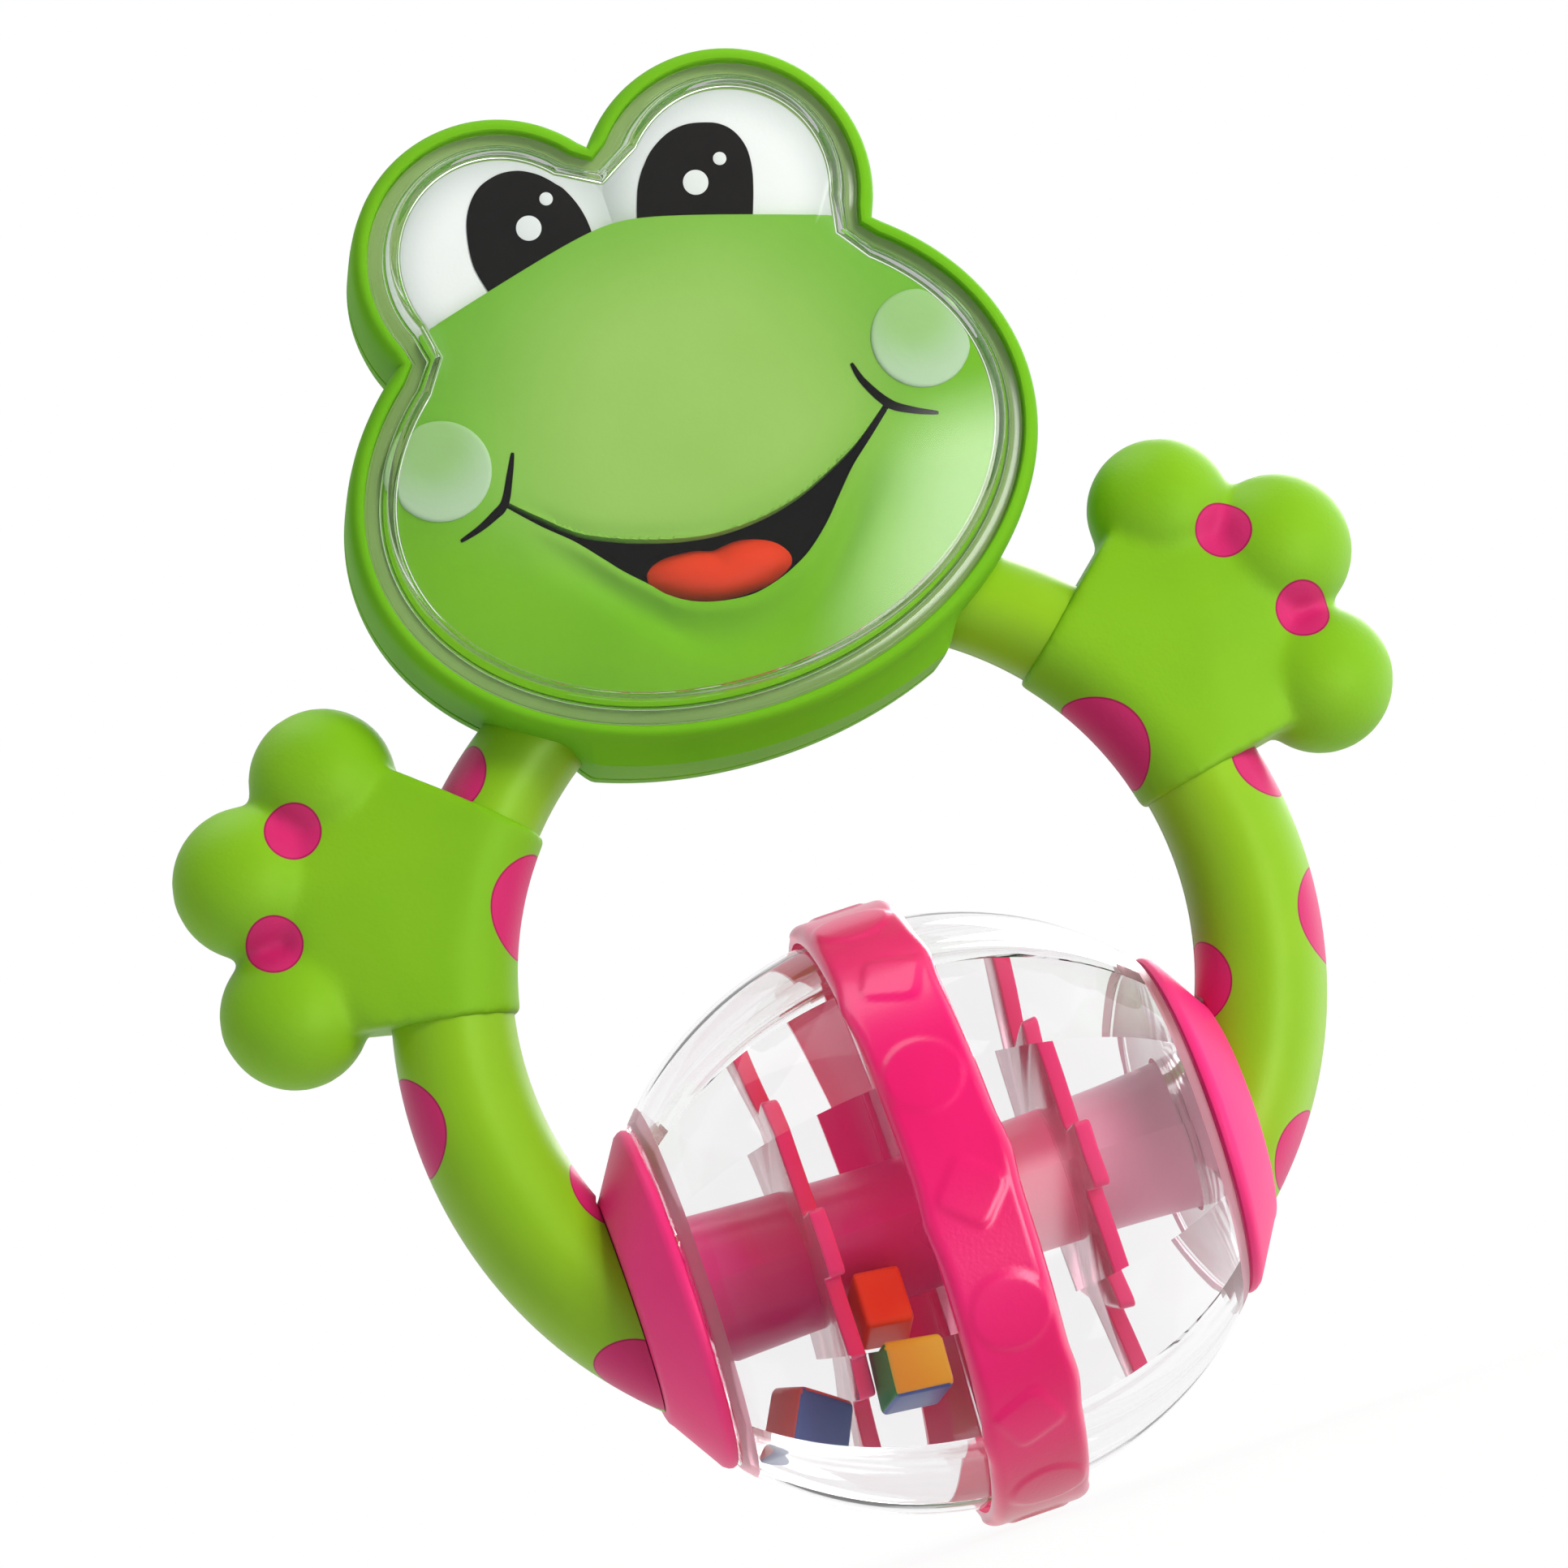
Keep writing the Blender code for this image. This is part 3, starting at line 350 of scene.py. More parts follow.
looks = {
    "casing": plastic("casingGreen", (112, 180, 36), (102, 172, 34), 0.55, shine=0.03),
    "seat": plastic("seatOlive", (142, 170, 106), (130, 160, 94), 0.5, shine=0.05),
    "arm": plastic("armGreen", (138, 186, 26), (128, 180, 23), 0.42, spotted="arm"),
    "hand": plastic("handGreen", (124, 180, 23), (115, 174, 21), 0.52, grain=0.25, spotted="hand", shine=0.3),
    "pupil": plastic("pupilBlack", (16, 12, 12), (10, 8, 8), 0.45, shine=0.06),
    "glint": plastic("glintWhite", (232, 236, 240), (222, 228, 234), 0.35),
    "mouth": plastic("mouthBlack", (8, 6, 6), (5, 4, 4), 0.55, shine=0.05),
    "tongue": plastic("tongueRed", (240, 74, 40), (226, 60, 30), 0.36, shine=0.2),
    "collar": plastic("collarPink", (240, 50, 130), (232, 44, 120), 0.46),
    "band": plastic("bandPink", (240, 32, 124), (230, 26, 112), 0.3, coat=0.3, clear=0.15),
    # a lit and a shaded copy of one pink: the paler hub tone below is painted light on the lit side
    "hub": plastic("hubPink", (226, 62, 152), (206, 46, 134), 0.3, clear=0.1),
    "litHubSide": plastic("litHubSidePink", (255, 186, 218), (252, 174, 208), 0.3, clear=0.06),
    "plateEdge": plastic("plateEdgePink", (240, 48, 122), (232, 40, 112), 0.3, clear=0.1),
    "plateFace": plastic("plateFacePink", (232, 156, 180), (226, 142, 168), 0.16, clear=0.68),
    "bush": plastic("bushWhite", (228, 228, 222), (216, 216, 210), 0.4),
    # dark pink for the shell's ends: painted shade, the shaded collar as seen through them
    "shadedShellRim": plastic("shadedShellRimTone", (196, 120, 140), (184, 108, 128), 0.35, clear=0.6),
    "lens": clearPlastic("lensClear", (0.97, 0.99, 0.975, 1.0), 1.45, 0.02),
    "shell": clearPlastic("shellClear", (0.955, 0.955, 0.96, 1.0), 1.3, 0.06),
}

beadTones = {
    "red": ((206, 82, 70), (190, 62, 54)),
    "blue": ((62, 92, 166), (50, 76, 148)),
    "green": ((48, 132, 64), (40, 116, 54)),
    "yellow": ((216, 172, 48), (200, 152, 38)),
    "orange": ((238, 84, 40), (226, 66, 32)),
}
for beadTone, (color, shade) in beadTones.items():
    looks["bead_" + beadTone] = plastic("bead" + beadTone.capitalize(), color, shade, 0.36)


# colour that turns from one tone to another away from the given places, seen from the front
def shadedFinish(name, near, far, places, fade, roughness, coat=0.0):
    look, tree, surface = newFinish(name)
    front = addNode(tree, "VectorMath", {0: objectPoint(tree), 1: (1, 0, 1)}, operation="MULTIPLY").outputs[0]
    least = 1.0
    for x, z in places:
        least = addMath(tree, "MINIMUM", addDistance(tree, front, (x * mm, 0, headZ + z * mm)), least)
    share = addFade(tree, least, fade[0] * mm, fade[1] * mm)
    tones = srgb(*near), srgb(*far)
    darker = [tuple(0.95 * c for c in tone) for tone in tones]
    addMoulding(tree, surface, addMix(tree, share, *tones), addMix(tree, share, *darker), roughness)
    setInputs(surface, {"Coat Weight": coat})
    return look


# the whites fade to grey towards their rims: painted shade round the domed whites
eyePlaces = ((-12.6, 27.0), (12.6, 27.0))
looks["eye"] = shadedFinish("eyeWhite", (246, 249, 255), (198, 207, 210), eyePlaces, (7.0, 14.0), 0.3, coat=0.2)
for cheekSide, place in (("left", (-26.3, 10.6)), ("right", (27.3, 8.6))):
    frost = shadedFinish("cheekFrost", (153, 199, 126), (180, 211, 176), (place,), (2.0, 7.5), 0.45)
    looks["cheek_" + cheekSide] = frost

faceTones = {  # each a tone and the tone of its clouding
    "middle": ((156, 199, 102), (150, 195, 94)), "edge": ((114, 180, 52), (106, 174, 46)),
    "jaw": ((118, 184, 24), (108, 176, 20)),
    # the muzzle's crown and the fade from its painted highlight to painted shade at the edges
    "paintedHighlightCentre": (0.001, -0.012, 0.1215), "paintedShadeFade": (0.01, 0.031),
    "jawZ": 0.1115, "jawCurve": 17.0, "jawFade": (-0.004, 0.012), "roughness": 0.36, "shine": 0.2,
}


# a painted highlight on the muzzle's crown that fades to darker green towards its edges as painted shade; stronger
# green on the jaw
def faceFinish():
    look, tree, surface = newFinish("faceGreen")
    point = objectPoint(tree)
    at = splitPoint(tree, point)
    across = addMath(tree, "MULTIPLY", at["X"], at["X"])
    line = addMath(tree, "ADD", addMath(tree, "MULTIPLY", across, faceTones["jawCurve"]), faceTones["jawZ"])
    jaw = addFade(tree, addMath(tree, "SUBTRACT", line, at["Z"]), *faceTones["jawFade"])
    # painted highlight and shade: lighter round the crown, darker towards the muzzle's edges
    edge = addFade(tree, addDistance(tree, point, faceTones["paintedHighlightCentre"]), *faceTones["paintedShadeFade"])
    tones = []
    for middle, outer, low in zip(faceTones["middle"], faceTones["edge"], faceTones["jaw"]):
        muzzle = addMix(tree, edge, srgb(*middle), srgb(*outer))
        tones.append(addMix(tree, jaw, muzzle, srgb(*low)))
    addMoulding(tree, surface, *tones, faceTones["roughness"])
    setInputs(surface, {"Specular IOR Level": faceTones["shine"]})
    return look


steel = {"marks": 900.0, "tones": ((196, 196, 198), (170, 170, 174)), "roughFade": (-0.6, 2.2)}


def steelFinish():
    look, tree, surface = newFinish("platedSteel")
    marks = addNoise(tree, steel["marks"])
    tone = addMix(tree, marks, *(srgb(*tone) for tone in steel["tones"]))
    rough = addFade(tree, marks, *steel["roughFade"])
    setInputs(surface, {"Base Color": tone, "Roughness": rough, "Metallic": 1.0})
    return look


looks["face"] = faceFinish()
looks["steel"] = steelFinish()
print("finishes:", len(looks))


def addLoop(bm, points):
    verts = [bm.verts.new(point) for point in points]
    return [bm.edges.new(pair) for pair in zip(verts, verts[1:] + verts[:1])]


# one ring of points drawn on through the others, with flat ends or closed on itself
def joinRings(rings, wrap=False, bm=None):
    bm = bm or bmesh.new()
    rings = [list(ring) for ring in rings]
    loop = addLoop(bm, rings[0])
    verts = [edge.verts[0] for edge in loop]
    if not wrap:
        bmesh.ops.contextual_create(bm, geom=loop)
    for ring in rings[1:] + (rings[:1] if wrap else []):
        made = bmesh.ops.extrude_edge_only(bm, edges=loop)["geom"]
        fresh = {v for v in made if isinstance(v, bmesh.types.BMVert)}
        verts = [next(e.other_vert(v) for e in v.link_edges if e.other_vert(v) in fresh) for v in verts]
        for v, point in zip(verts, ring):
            v.co = point
        loop = [e for e in made if isinstance(e, bmesh.types.BMEdge) and fresh.issuperset(e.verts)]
    if not wrap:
        bmesh.ops.contextual_create(bm, geom=loop)
    return bm


def mergeDoubles(bm):
    bmesh.ops.remove_doubles(bm, verts=bm.verts, dist=weld)


# a closed profile of (x, radius) points turned about the axle's line
def turnProfile(profile, steps, side=1):
    bm = bmesh.new()
    loop = addLoop(bm, [(side * x * mm, 0, r * mm) for x, r in profile])
    verts = list({v for edge in loop for v in edge.verts})
    bmesh.ops.spin(
        bm, geom=verts + loop, cent=(0, 0, 0), axis=(1, 0, 0), angle=math.tau, steps=steps, use_merge=True
    )
    mergeDoubles(bm)
    return bm


def smoothStep(low, high, value):
    share = min(max((value - low) / (high - low), 0.0), 1.0)
    return share * share * (3 - 2 * share)


def bell(value, width, power=2):
    return math.exp(-((value / width) ** power))


def evenSteps(first, last, count):
    return [first + (last - first) * k / count for k in range(count + 1)]


def circle(x, z, radius, count):
    return [(x + radius * math.cos(a), z + radius * math.sin(a)) for a in evenSteps(0, math.tau, count)[:-1]]


# a smooth line through the given points
def smoothLine(points, steps):
    ends = [points[0]] + list(points) + [points[-1]]
    line = []
    for a, b, c, d in zip(ends, ends[1:], ends[2:], ends[3:]):
        for k in range(steps):
            t = k / steps
            line.append(tuple(
                0.5 * (2 * q + (r - p) * t + (2 * p - 5 * q + 4 * r - s) * t**2 + (3 * q - p - 3 * r + s) * t**3)
                for p, q, r, s in zip(a, b, c, d)
            ))
    return line + [tuple(points[-1])]


def smoothShading(mesh, sharp):
    mesh.shade_smooth()
    mesh.set_sharp_from_angle(angle=math.radians(sharp))


# look is the name of a finish, or a list of names for the faces' material numbers
def finishPiece(name, bm, look, body, nodes, sharp=35.0, lift=0.0):
    mergeDoubles(bm)
    bmesh.ops.translate(bm, vec=(0, 0, lift), verts=bm.verts)
    bmesh.ops.recalc_face_normals(bm, faces=bm.faces)
    piece = meshObject(name, bm)
    smoothShading(piece.data, sharp)
    for one in [look] if isinstance(look, str) else look:
        piece.data.materials.append(looks[one])
    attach(piece, body)
    if nodes:
        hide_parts(*nodes)
    return piece


# a CAD node that stays gets a better finish
def setLook(node, look):
    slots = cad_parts[node].data.materials
    slots.clear()
    slots.append(looks[look])


# applies Boolean cuts, remeshing and the like, and leaves a plain mesh
def bakeModifiers(piece, sharp=35.0):
    bpy.context.view_layer.update()
    shaped = bpy.data.meshes.new_from_object(piece.evaluated_get(bpy.context.evaluated_depsgraph_get()))
    piece.modifiers.clear()
    piece.data = shaped
    smoothShading(shaped, sharp)


def cutAway(piece, bm, operation="DIFFERENCE", sharp=35.0):
    mergeDoubles(bm)
    bmesh.ops.recalc_face_normals(bm, faces=bm.faces)
    cutter = meshObject("cutter", bm)
    change = piece.modifiers.new("cut", "BOOLEAN")
    change.operation, change.solver, change.object = operation, "EXACT", cutter
    bakeModifiers(piece, sharp)
    bpy.data.objects.remove(cutter)


head = {  # mm about the face's centre, with depths from the ring's plane
    "halfWidth": 38.2, "halfHeight": 29.0, "eyeOut": 13.0, "eyeUp": 27.7, "eyeRadius": 16.1, "chinHalf": 25.0,
    "skirtDrop": 1.8, "skirtBend": 0.3, "skirtHalf": 20.4, "skirtInner": 19.6, "skirtOuter": 22.8,
    "front": -11.4, "parting": 3.0, "bezel": 1.9, "seat": -9.6, "lip": -8.0, "lipInset": 4.5, "wall": 2.0,
    "coverGap": 0.3, "coverInside": 7.4, "coverSide": 6.3,
    "coverEdge": ((0.994, 7.7), (0.98, 8.8), (0.96, 9.5), (0.935, 9.8)),  # share of the outline, depth
    "screwIn": 5.2, "sinkRadius": 2.6, "sinkDepths": (8.3, 12.0),
}


# the head from the front, from the chin towards the right
def headOutline(skirt):
    w, h, chin = head["halfWidth"], head["halfHeight"], head["chinHalf"]
    eyeX, eyeZ, eyeRadius = head["eyeOut"], head["eyeUp"], head["eyeRadius"]
    right = []
    for x in evenSteps(0.0, chin, 60):
        drop = head["skirtDrop"] * (1 + head["skirtBend"] * (x / head["skirtHalf"]) ** 2)
        drop *= 1 - smoothStep(head["skirtInner"], head["skirtOuter"], x)
        right.append((x, -h * math.sqrt(1 - (x / w) ** 2) - (drop if skirt else 0.0)))
    low, high = 0.0, math.pi / 2
    for _ in range(40):  # where the oval meets the eye's circle
        middle = (low + high) / 2
        inside = math.hypot(w * math.cos(middle) - eyeX, h * math.sin(middle) - eyeZ) < eyeRadius
        low, high = (low, middle) if inside else (middle, high)
    for angle in evenSteps(-math.acos(chin / w), low, 56)[1:]:
        right.append((w * math.cos(angle), h * math.sin(angle)))
    first = math.atan2(right[-1][1] - eyeZ, right[-1][0] - eyeX)
    notch = math.pi - math.acos(eyeX / eyeRadius)
    for angle in evenSteps(first, notch, 60)[1:]:
        right.append((eyeX + eyeRadius * math.cos(angle), eyeZ + eyeRadius * math.sin(angle)))
    return right + [(-x, z) for x, z in reversed(right[1:-1])]


plainOutline = headOutline(False)
chinOutline = headOutline(True)


# the outline moved inwards, with its notches kept round
def drawIn(outline, distance):
    moved = []
    for k, point in enumerate(outline):
        here = Vector(point)
        before = (here - Vector(outline[k - 1])).normalized()
        after = (Vector(outline[(k + 1) % len(outline)]) - here).normalized()
        inward = (Vector((-before.y, before.x)) + Vector((-after.y, after.x))).normalized()
        moved.append(tuple(here + inward * distance))
    return moved


def shrink(outline, share, middle=(0.0, 0.0)):
    return [(middle[0] + (x - middle[0]) * share, middle[1] + (z - middle[1]) * share) for x, z in outline]


# points of the head in place, at one depth or over a shaped front
def atDepth(outline, depth, rise=0.0):
    return [(x * mm, ((depth(x, z) if callable(depth) else depth) - rise) * mm, headZ + z * mm) for x, z in outline]


def insetRings(rows):
    return [atDepth(drawIn(outline, inset) if inset else outline, y) for outline, inset, y in rows]


def buildCasing():
    front, parting, seat, lip = (head[key] for key in ("front", "parting", "seat", "lip"))
    bezel, lipInset, wall = (head[key] for key in ("bezel", "lipInset", "wall"))
    plain, chin = plainOutline, chinOutline
    casing = joinRings(insetRings((
        (plain, bezel + 0.05, seat), (plain, bezel, front + 0.25), (plain, bezel - 0.15, front + 0.05),
        (plain, bezel - 0.45, front), (plain, 1.1, front + 0.12), (plain, 0.75, front + 0.45),
        (plain, 0.45, front + 1.1), (plain, 0.25, front + 2.1), (chin, 0.12, front + 4.4), (chin, 0.03, front + 8.0),
        (chin, 0.0, parting - 0.4), (chin, 0.7, parting), (plain, wall, parting), (plain, wall, lip),
        (plain, lipInset, lip), (plain, lipInset, seat),
    )), wrap=True)
    for f in casing.faces:  # the window's seat is paler than the rest
        f.material_index = int(all(abs(v.co.y - seat * mm) < 1e-6 for v in f.verts))
    finishPiece("casing_front", casing, ["casing", "seat"], "root", ["head_front_shell"])
    joint = parting + head["coverGap"]
    rings = insetRings((
        (plain, wall + 0.4, head["coverInside"]), (plain, wall, joint), (chin, 0.7, joint), (chin, 0.0, joint + 0.4),
        (chin, 0.0, head["coverSide"]),
    ))
    rings += [atDepth(shrink(chin, share), y) for share, y in head["coverEdge"]]
    cover = finishPiece("casing_back", joinRings(rings), "casing", "root", ["head_rear_cover"])
    sinks = bmesh.new()
    upper = (head["eyeOut"], head["eyeUp"] + head["eyeRadius"] - head["screwIn"])
    for x, z in (upper, (head["halfWidth"] - head["screwIn"], 0.0)):
        for _, side in sides:
            rim = circle(side * x, z, head["sinkRadius"], 40)
            joinRings([atDepth(rim, y) for y in head["sinkDepths"]], bm=sinks)
    cutAway(cover, sinks)
    for number in range(1, 5):
        setLook(f"head_screw_{number}", "steel")


window = {
    "crown": 2.2, "over": 5.1, "under": 5.6, "overY": -14.2, "underY": -13.1,
    "oval": (30.5, 35.0, 23.0),  # half width, height over and under the middle
    "shares": (0.99, 0.97, 0.945, 0.91, 0.87, 0.82, 0.75, 0.66, 0.54, 0.4, 0.24, 0.1, 0.03),
    "inside": ((5.35, -12.9), (5.1, -12.5), (4.5, -11.0), (4.3, -10.3), (4.25, -9.9)),  # inset, depth
    "outside": (
        (2.2, -9.9), (2.2, -10.8), (2.3, -11.0), (3.1, -11.05), (3.35, -11.2), (3.55, -11.6), (4.0, -12.9),
        (4.2, -13.5), (4.45, -13.9), (4.8, -14.13),
    ),
}


# rings of a low dome that turn from the head's outline to a plain oval towards the middle
def domeRings(outline, rimY, shares):
    half, over, under = window["oval"]
    rings = []
    for share in shares:
        keep = share**6
        ring = []
        for x, z in outline:
            away = math.hypot(x / half, z / (over if z > 0 else under))
            ring.append(tuple(share * (keep * a + (1 - keep) * a / away) for a in (x, z)))
        rings.append(atDepth(ring, rimY - window["crown"] * (1 - share**3)))
    return rings


def buildWindow():
    under, over = drawIn(plainOutline, window["under"]), drawIn(plainOutline, window["over"])
    rings = domeRings(under, window["underY"], reversed(window["shares"]))
    rings.append(atDepth(under, window["underY"]))
    rings += insetRings((plainOutline, inset, y) for inset, y in window["inside"] + window["outside"])
    rings.append(atDepth(over, window["overY"]))
    rings += domeRings(over, window["overY"], window["shares"])
    finishPiece("lens", joinRings(rings), "lens", "root", ["face_window"], sharp=50)


face = {
    "back": -8.0, "rim": -10.2, "inset": 4.6, "middle": (0.0, -1.0), "rings": 84, "bottom": -45.0, "top": 60.0,
    "archTop": 27.6, "archFall": 0.29, "archLean": 0.03, "archRound": 4.0, "archHalf": 37.0,
    "archEnd": 22.0, "archDrop": 0.02,
    "crown": 2.6, "crownSpan": (35.0, 36.0, 26.0),  # half width, height over and under the middle
    "lipSpan": (14.0, 21.0), "lipTurn": (0.45, 1.3),  # the upper lip turns in: depth, width
    "lipBead": (0.25, 0.9, 0.9), "hollow": (0.75, 3.8, 2.3),  # under the mouth: size, distance, width
    "jaw": 0.25, "jawSpan": (10.0, 24.0), "jawStart": (3.5, 10.0), "jawEnd": (-24.0, -27.5),
    "cheeks": {"left": (-26.3, 7.6), "right": (27.3, 5.6)}, "cheekRise": 0.5, "cheekSpan": 7.0,
    "eyeBase": -9.6, "eyeDome": 0.9, "eyeOut": 12.6, "eyeSpan": (13.0, 13.5), "eyeMiddle": (0.0, 28.0),
    "eyeTuck": 2.5, "eyeRings": 34,
    "upperLip": (
        (-21.0, 2.6), (-18.0, -0.2), (-14.5, -3.2), (-10.6, -5.1), (-7.6, -6.2), (-4.0, -7.2), (0.3, -7.8),
        (4.9, -7.6), (9.1, -6.7), (12.9, -5.2), (17.0, -3.1), (21.6, 0.3),
    ),
    "lowerLip": (
        (-21.0, 1.8), (-18.0, -1.4), (-15.2, -4.0), (-12.8, -6.8), (-11.2, -8.7), (-9.1, -10.8), (-7.5, -12.5),
        (-5.1, -14.0), (-2.1, -14.9), (1.2, -15.2), (4.2, -14.6), (6.9, -13.5), (9.0, -12.2), (11.4, -10.1),
        (13.7, -7.6), (15.9, -5.3), (18.8, -2.9), (21.6, -0.5),
    ),
    "mouthCut": (-20.0, 0.0), "mouthDepths": (-8.0, -9.7), "mouthSpread": 0.6,
}
upperLip = smoothLine(face["upperLip"], 10)
lowerLip = smoothLine(face["lowerLip"], 10)


# the muzzle's upper edge, below the eyes
def archLine(x):
    fall = face["archFall"] * (math.hypot(x, face["archRound"]) - face["archRound"]) + face["archLean"] * x
    return face["archTop"] - fall - face["archDrop"] * max(0.0, abs(x) - face["archEnd"]) ** 2


def lineHeight(line, x):
    for (x0, z0), (x1, z1) in zip(line, line[1:]):
        if x0 <= x <= x1:
            return z0 + (z1 - z0) * (x - x0) / (x1 - x0)
    return line[0][1] if x < line[0][0] else line[-1][1]


# the face's front: a full muzzle, a rounded lower lip, a hollow under it and a bulging jaw
def faceDepth(x, z):
    half, above, below = face["crownSpan"]
    away = min(1.0, (x / half) ** 2 + (z / (above if z > 0 else below)) ** 2)
    depth = face["crown"] * (1 - away * away)
    near = 1 - smoothStep(*face["lipSpan"], abs(x))
    over = z - lineHeight(upperLip, x)
    under = lineHeight(lowerLip, x) - z
    if over > 0:
        turn, width = face["lipTurn"]
        depth -= turn * near * bell(over, width)
    if under > 0:
        for (size, place, width), way in ((face["lipBead"], 1), (face["hollow"], -1)):
            depth += way * near * size * bell(under - place, width)
        jaw = face["jaw"] * (1 - smoothStep(*face["jawSpan"], abs(x)))
        depth += jaw * smoothStep(*face["jawStart"], under) * (1 - smoothStep(*face["jawEnd"], z))
    for cheekX, cheekZ in face["cheeks"].values():
        depth += face["cheekRise"] * bell(math.hypot(x - cheekX, z - cheekZ), face["cheekSpan"], 4)
    return face["rim"] - depth


def eyeDepth(x, z):
    wide, tall = face["eyeSpan"]
    away = ((abs(x) - face["eyeOut"]) / wide) ** 2 + ((z - face["eyeMiddle"][1]) / tall) ** 2
    return face["eyeBase"] - face["eyeDome"] * max(0.0, 1 - away * away)


# where a line from the middle first leaves the outline
def reach(middle, angle, outline):
    dx, dz = math.cos(angle), math.sin(angle)
    best = math.inf
    for (x0, z0), (x1, z1) in zip(outline, outline[1:] + outline[:1]):
        ex, ez = x1 - x0, z1 - z0
        across = dx * ez - dz * ex
        if abs(across) < 1e-12:
            continue
        along = ((x0 - middle[0]) * ez - (z0 - middle[1]) * ex) / across
        share = ((x0 - middle[0]) * dz - (z0 - middle[1]) * dx) / across
        if along > 0 and -1e-9 <= share <= 1 + 1e-9:
            best = min(best, along)
    return best


# a plate inside both outlines with a shaped front, flat behind, spread from its middle to its edge
def shapedPlate(middle, outlines, depthAt, ringCount):
    edge = []
    for angle in evenSteps(-math.pi / 2, 1.5 * math.pi, 300)[:-1]:
        length = min(reach(middle, angle, outline) for outline in outlines)
        edge.append((middle[0] + length * math.cos(angle), middle[1] + length * math.sin(angle)))
    rings = [atDepth(edge, face["back"])]
    for k in range(ringCount, 0, -1):
        rings.append(atDepth(shrink(edge, k / ringCount, middle), depthAt))
    return joinRings(rings)


def buildFace():
    half, bottom, top = face["archHalf"], face["bottom"], face["top"]
    rim = drawIn(plainOutline, face["inset"])
    below = [(-half, bottom), (half, bottom)] + [(x, archLine(x)) for x in evenSteps(half, -half, 90)]
    plate = shapedPlate(face["middle"], (rim, below), faceDepth, face["rings"])
    muzzle = finishPiece("muzzle", plate, "face", "root", ["face_plate"])
    mouth = lowerLip + upperLip[::-1]
    cutAway(muzzle, joinRings([atDepth(mouth, y) for y in face["mouthCut"]]))
    wide = drawIn(mouth, -face["mouthSpread"])
    inside = joinRings([atDepth(wide, y) for y in face["mouthDepths"]])
    finishPiece("mouth_back", inside, "mouth", "root", ["mouth_insert"])
    tucked = [(x, archLine(x) - face["eyeTuck"]) for x in evenSteps(-half, half, 60)]
    above = tucked + [(half, top), (-half, top)]
    plate = shapedPlate(face["eyeMiddle"], (rim, above), eyeDepth, face["eyeRings"])
    finishPiece("eye_whites", plate, "eye", "root", ["eye_insert"])


pupil = {
    "left": (
        (-15.1, 24.6), (-15.8, 28.0), (-15.3, 31.8), (-14.2, 34.3), (-12.5, 36.0), (-10.3, 36.7), (-8.4, 36.6),
        (-6.9, 36.0), (-5.5, 35.0), (-4.1, 33.4), (-3.1, 31.3), (-2.6, 29.2), (-2.5, 27.0),
    ),
    "right": (
        (2.5, 27.3), (3.6, 30.4), (4.7, 32.3), (6.3, 34.1), (8.5, 35.4), (10.6, 35.8), (12.5, 35.5),
        (14.3, 34.8), (15.6, 33.5), (16.3, 31.5), (16.2, 29.2), (15.5, 26.6), (14.4, 23.6),
    ),
    "thick": 0.5, "proud": 0.12, "sunk": 0.5, "tuck": 1.5, "shares": (1.0, 0.97, 0.9, 0.75, 0.5, 0.2),
    "glints": {"left": ((-8.9, 30.0, 1.37), (-6.1, 32.5, 0.72)), "right": ((9.8, 29.3, 1.37), (13.1, 31.0, 0.72))},
    "glintRings": ((1.0, -0.1), (1.0, 0.04), (0.8, 0.09), (0.4, 0.11)),  # share of the radius, rise
}


def buildPupils():
    for name, side in sides:
        line = smoothLine(pupil[name], 6)
        base = [(x, archLine(x) - pupil["tuck"]) for x in evenSteps(line[-1][0], line[0][0], 14)]
        edge = line[::-1] + base[::-1] if side < 0 else line + base
        middle = [sum(values) / len(edge) for values in zip(*edge)]
        rings = [atDepth(edge, face["eyeBase"] + pupil["sunk"])]
        for share in pupil["shares"]:
            rise = pupil["thick"] * (1 - share**6) + pupil["proud"]
            rings.append(atDepth(shrink(edge, share, middle), eyeDepth, rise))
        finishPiece(f"pupil_{name}", joinRings(rings), "pupil", "root", [f"{name}_pupil"])
        dots = bmesh.new()
        for x, z, radius in pupil["glints"][name]:
            top = eyeDepth(x, z) - pupil["thick"] - pupil["proud"]
            rows = pupil["glintRings"]
            joinRings([atDepth(circle(x, z, radius * share, 36), top, rise) for share, rise in rows], bm=dots)
        finishPiece(f"glints_{name}", dots, "glint", "root", [])


smile = {
    "left": ((-18.4, 7.1), (-19.4, 5.0), (-20.9, 2.2), (-22.5, 1.2), (-24.4, 0.4), (-26.6, -0.2)),
    "right": ((19.2, 5.2), (19.8, 2.9), (21.6, -0.1), (23.9, -1.6), (26.5, -2.7)),
    "width": 1.0, "tip": 0.3, "proud": 0.06, "sunk": 0.5,
}


def buildSmile():
    bm = bmesh.new()
    for name, _ in sides:
        line = smoothLine(smile[name], 8)
        upper, lower = [], []
        for k, point in enumerate(line):
            near, far = Vector(line[max(k - 1, 0)]), Vector(line[min(k + 1, len(line) - 1)])
            along = (far - near).normalized()
            across = Vector((-along.y, along.x))
            share = 1 - abs(2 * k / (len(line) - 1) - 1)
            half = (smile["tip"] + (smile["width"] - smile["tip"]) * share**0.7) / 2
            upper.append(tuple(Vector(point) + across * half))
            lower.append(tuple(Vector(point) - across * half))
        edge = upper + lower[::-1]
        loops = [addLoop(bm, atDepth(edge, faceDepth, rise)) for rise in (-smile["sunk"], smile["proud"])]
        bmesh.ops.bridge_loops(bm, edges=loops[0] + loops[1])
        for loop in loops:
            bmesh.ops.triangle_fill(bm, use_beauty=True, edges=loop)
    finishPiece("smile_lines", bm, "mouth", "root", [])


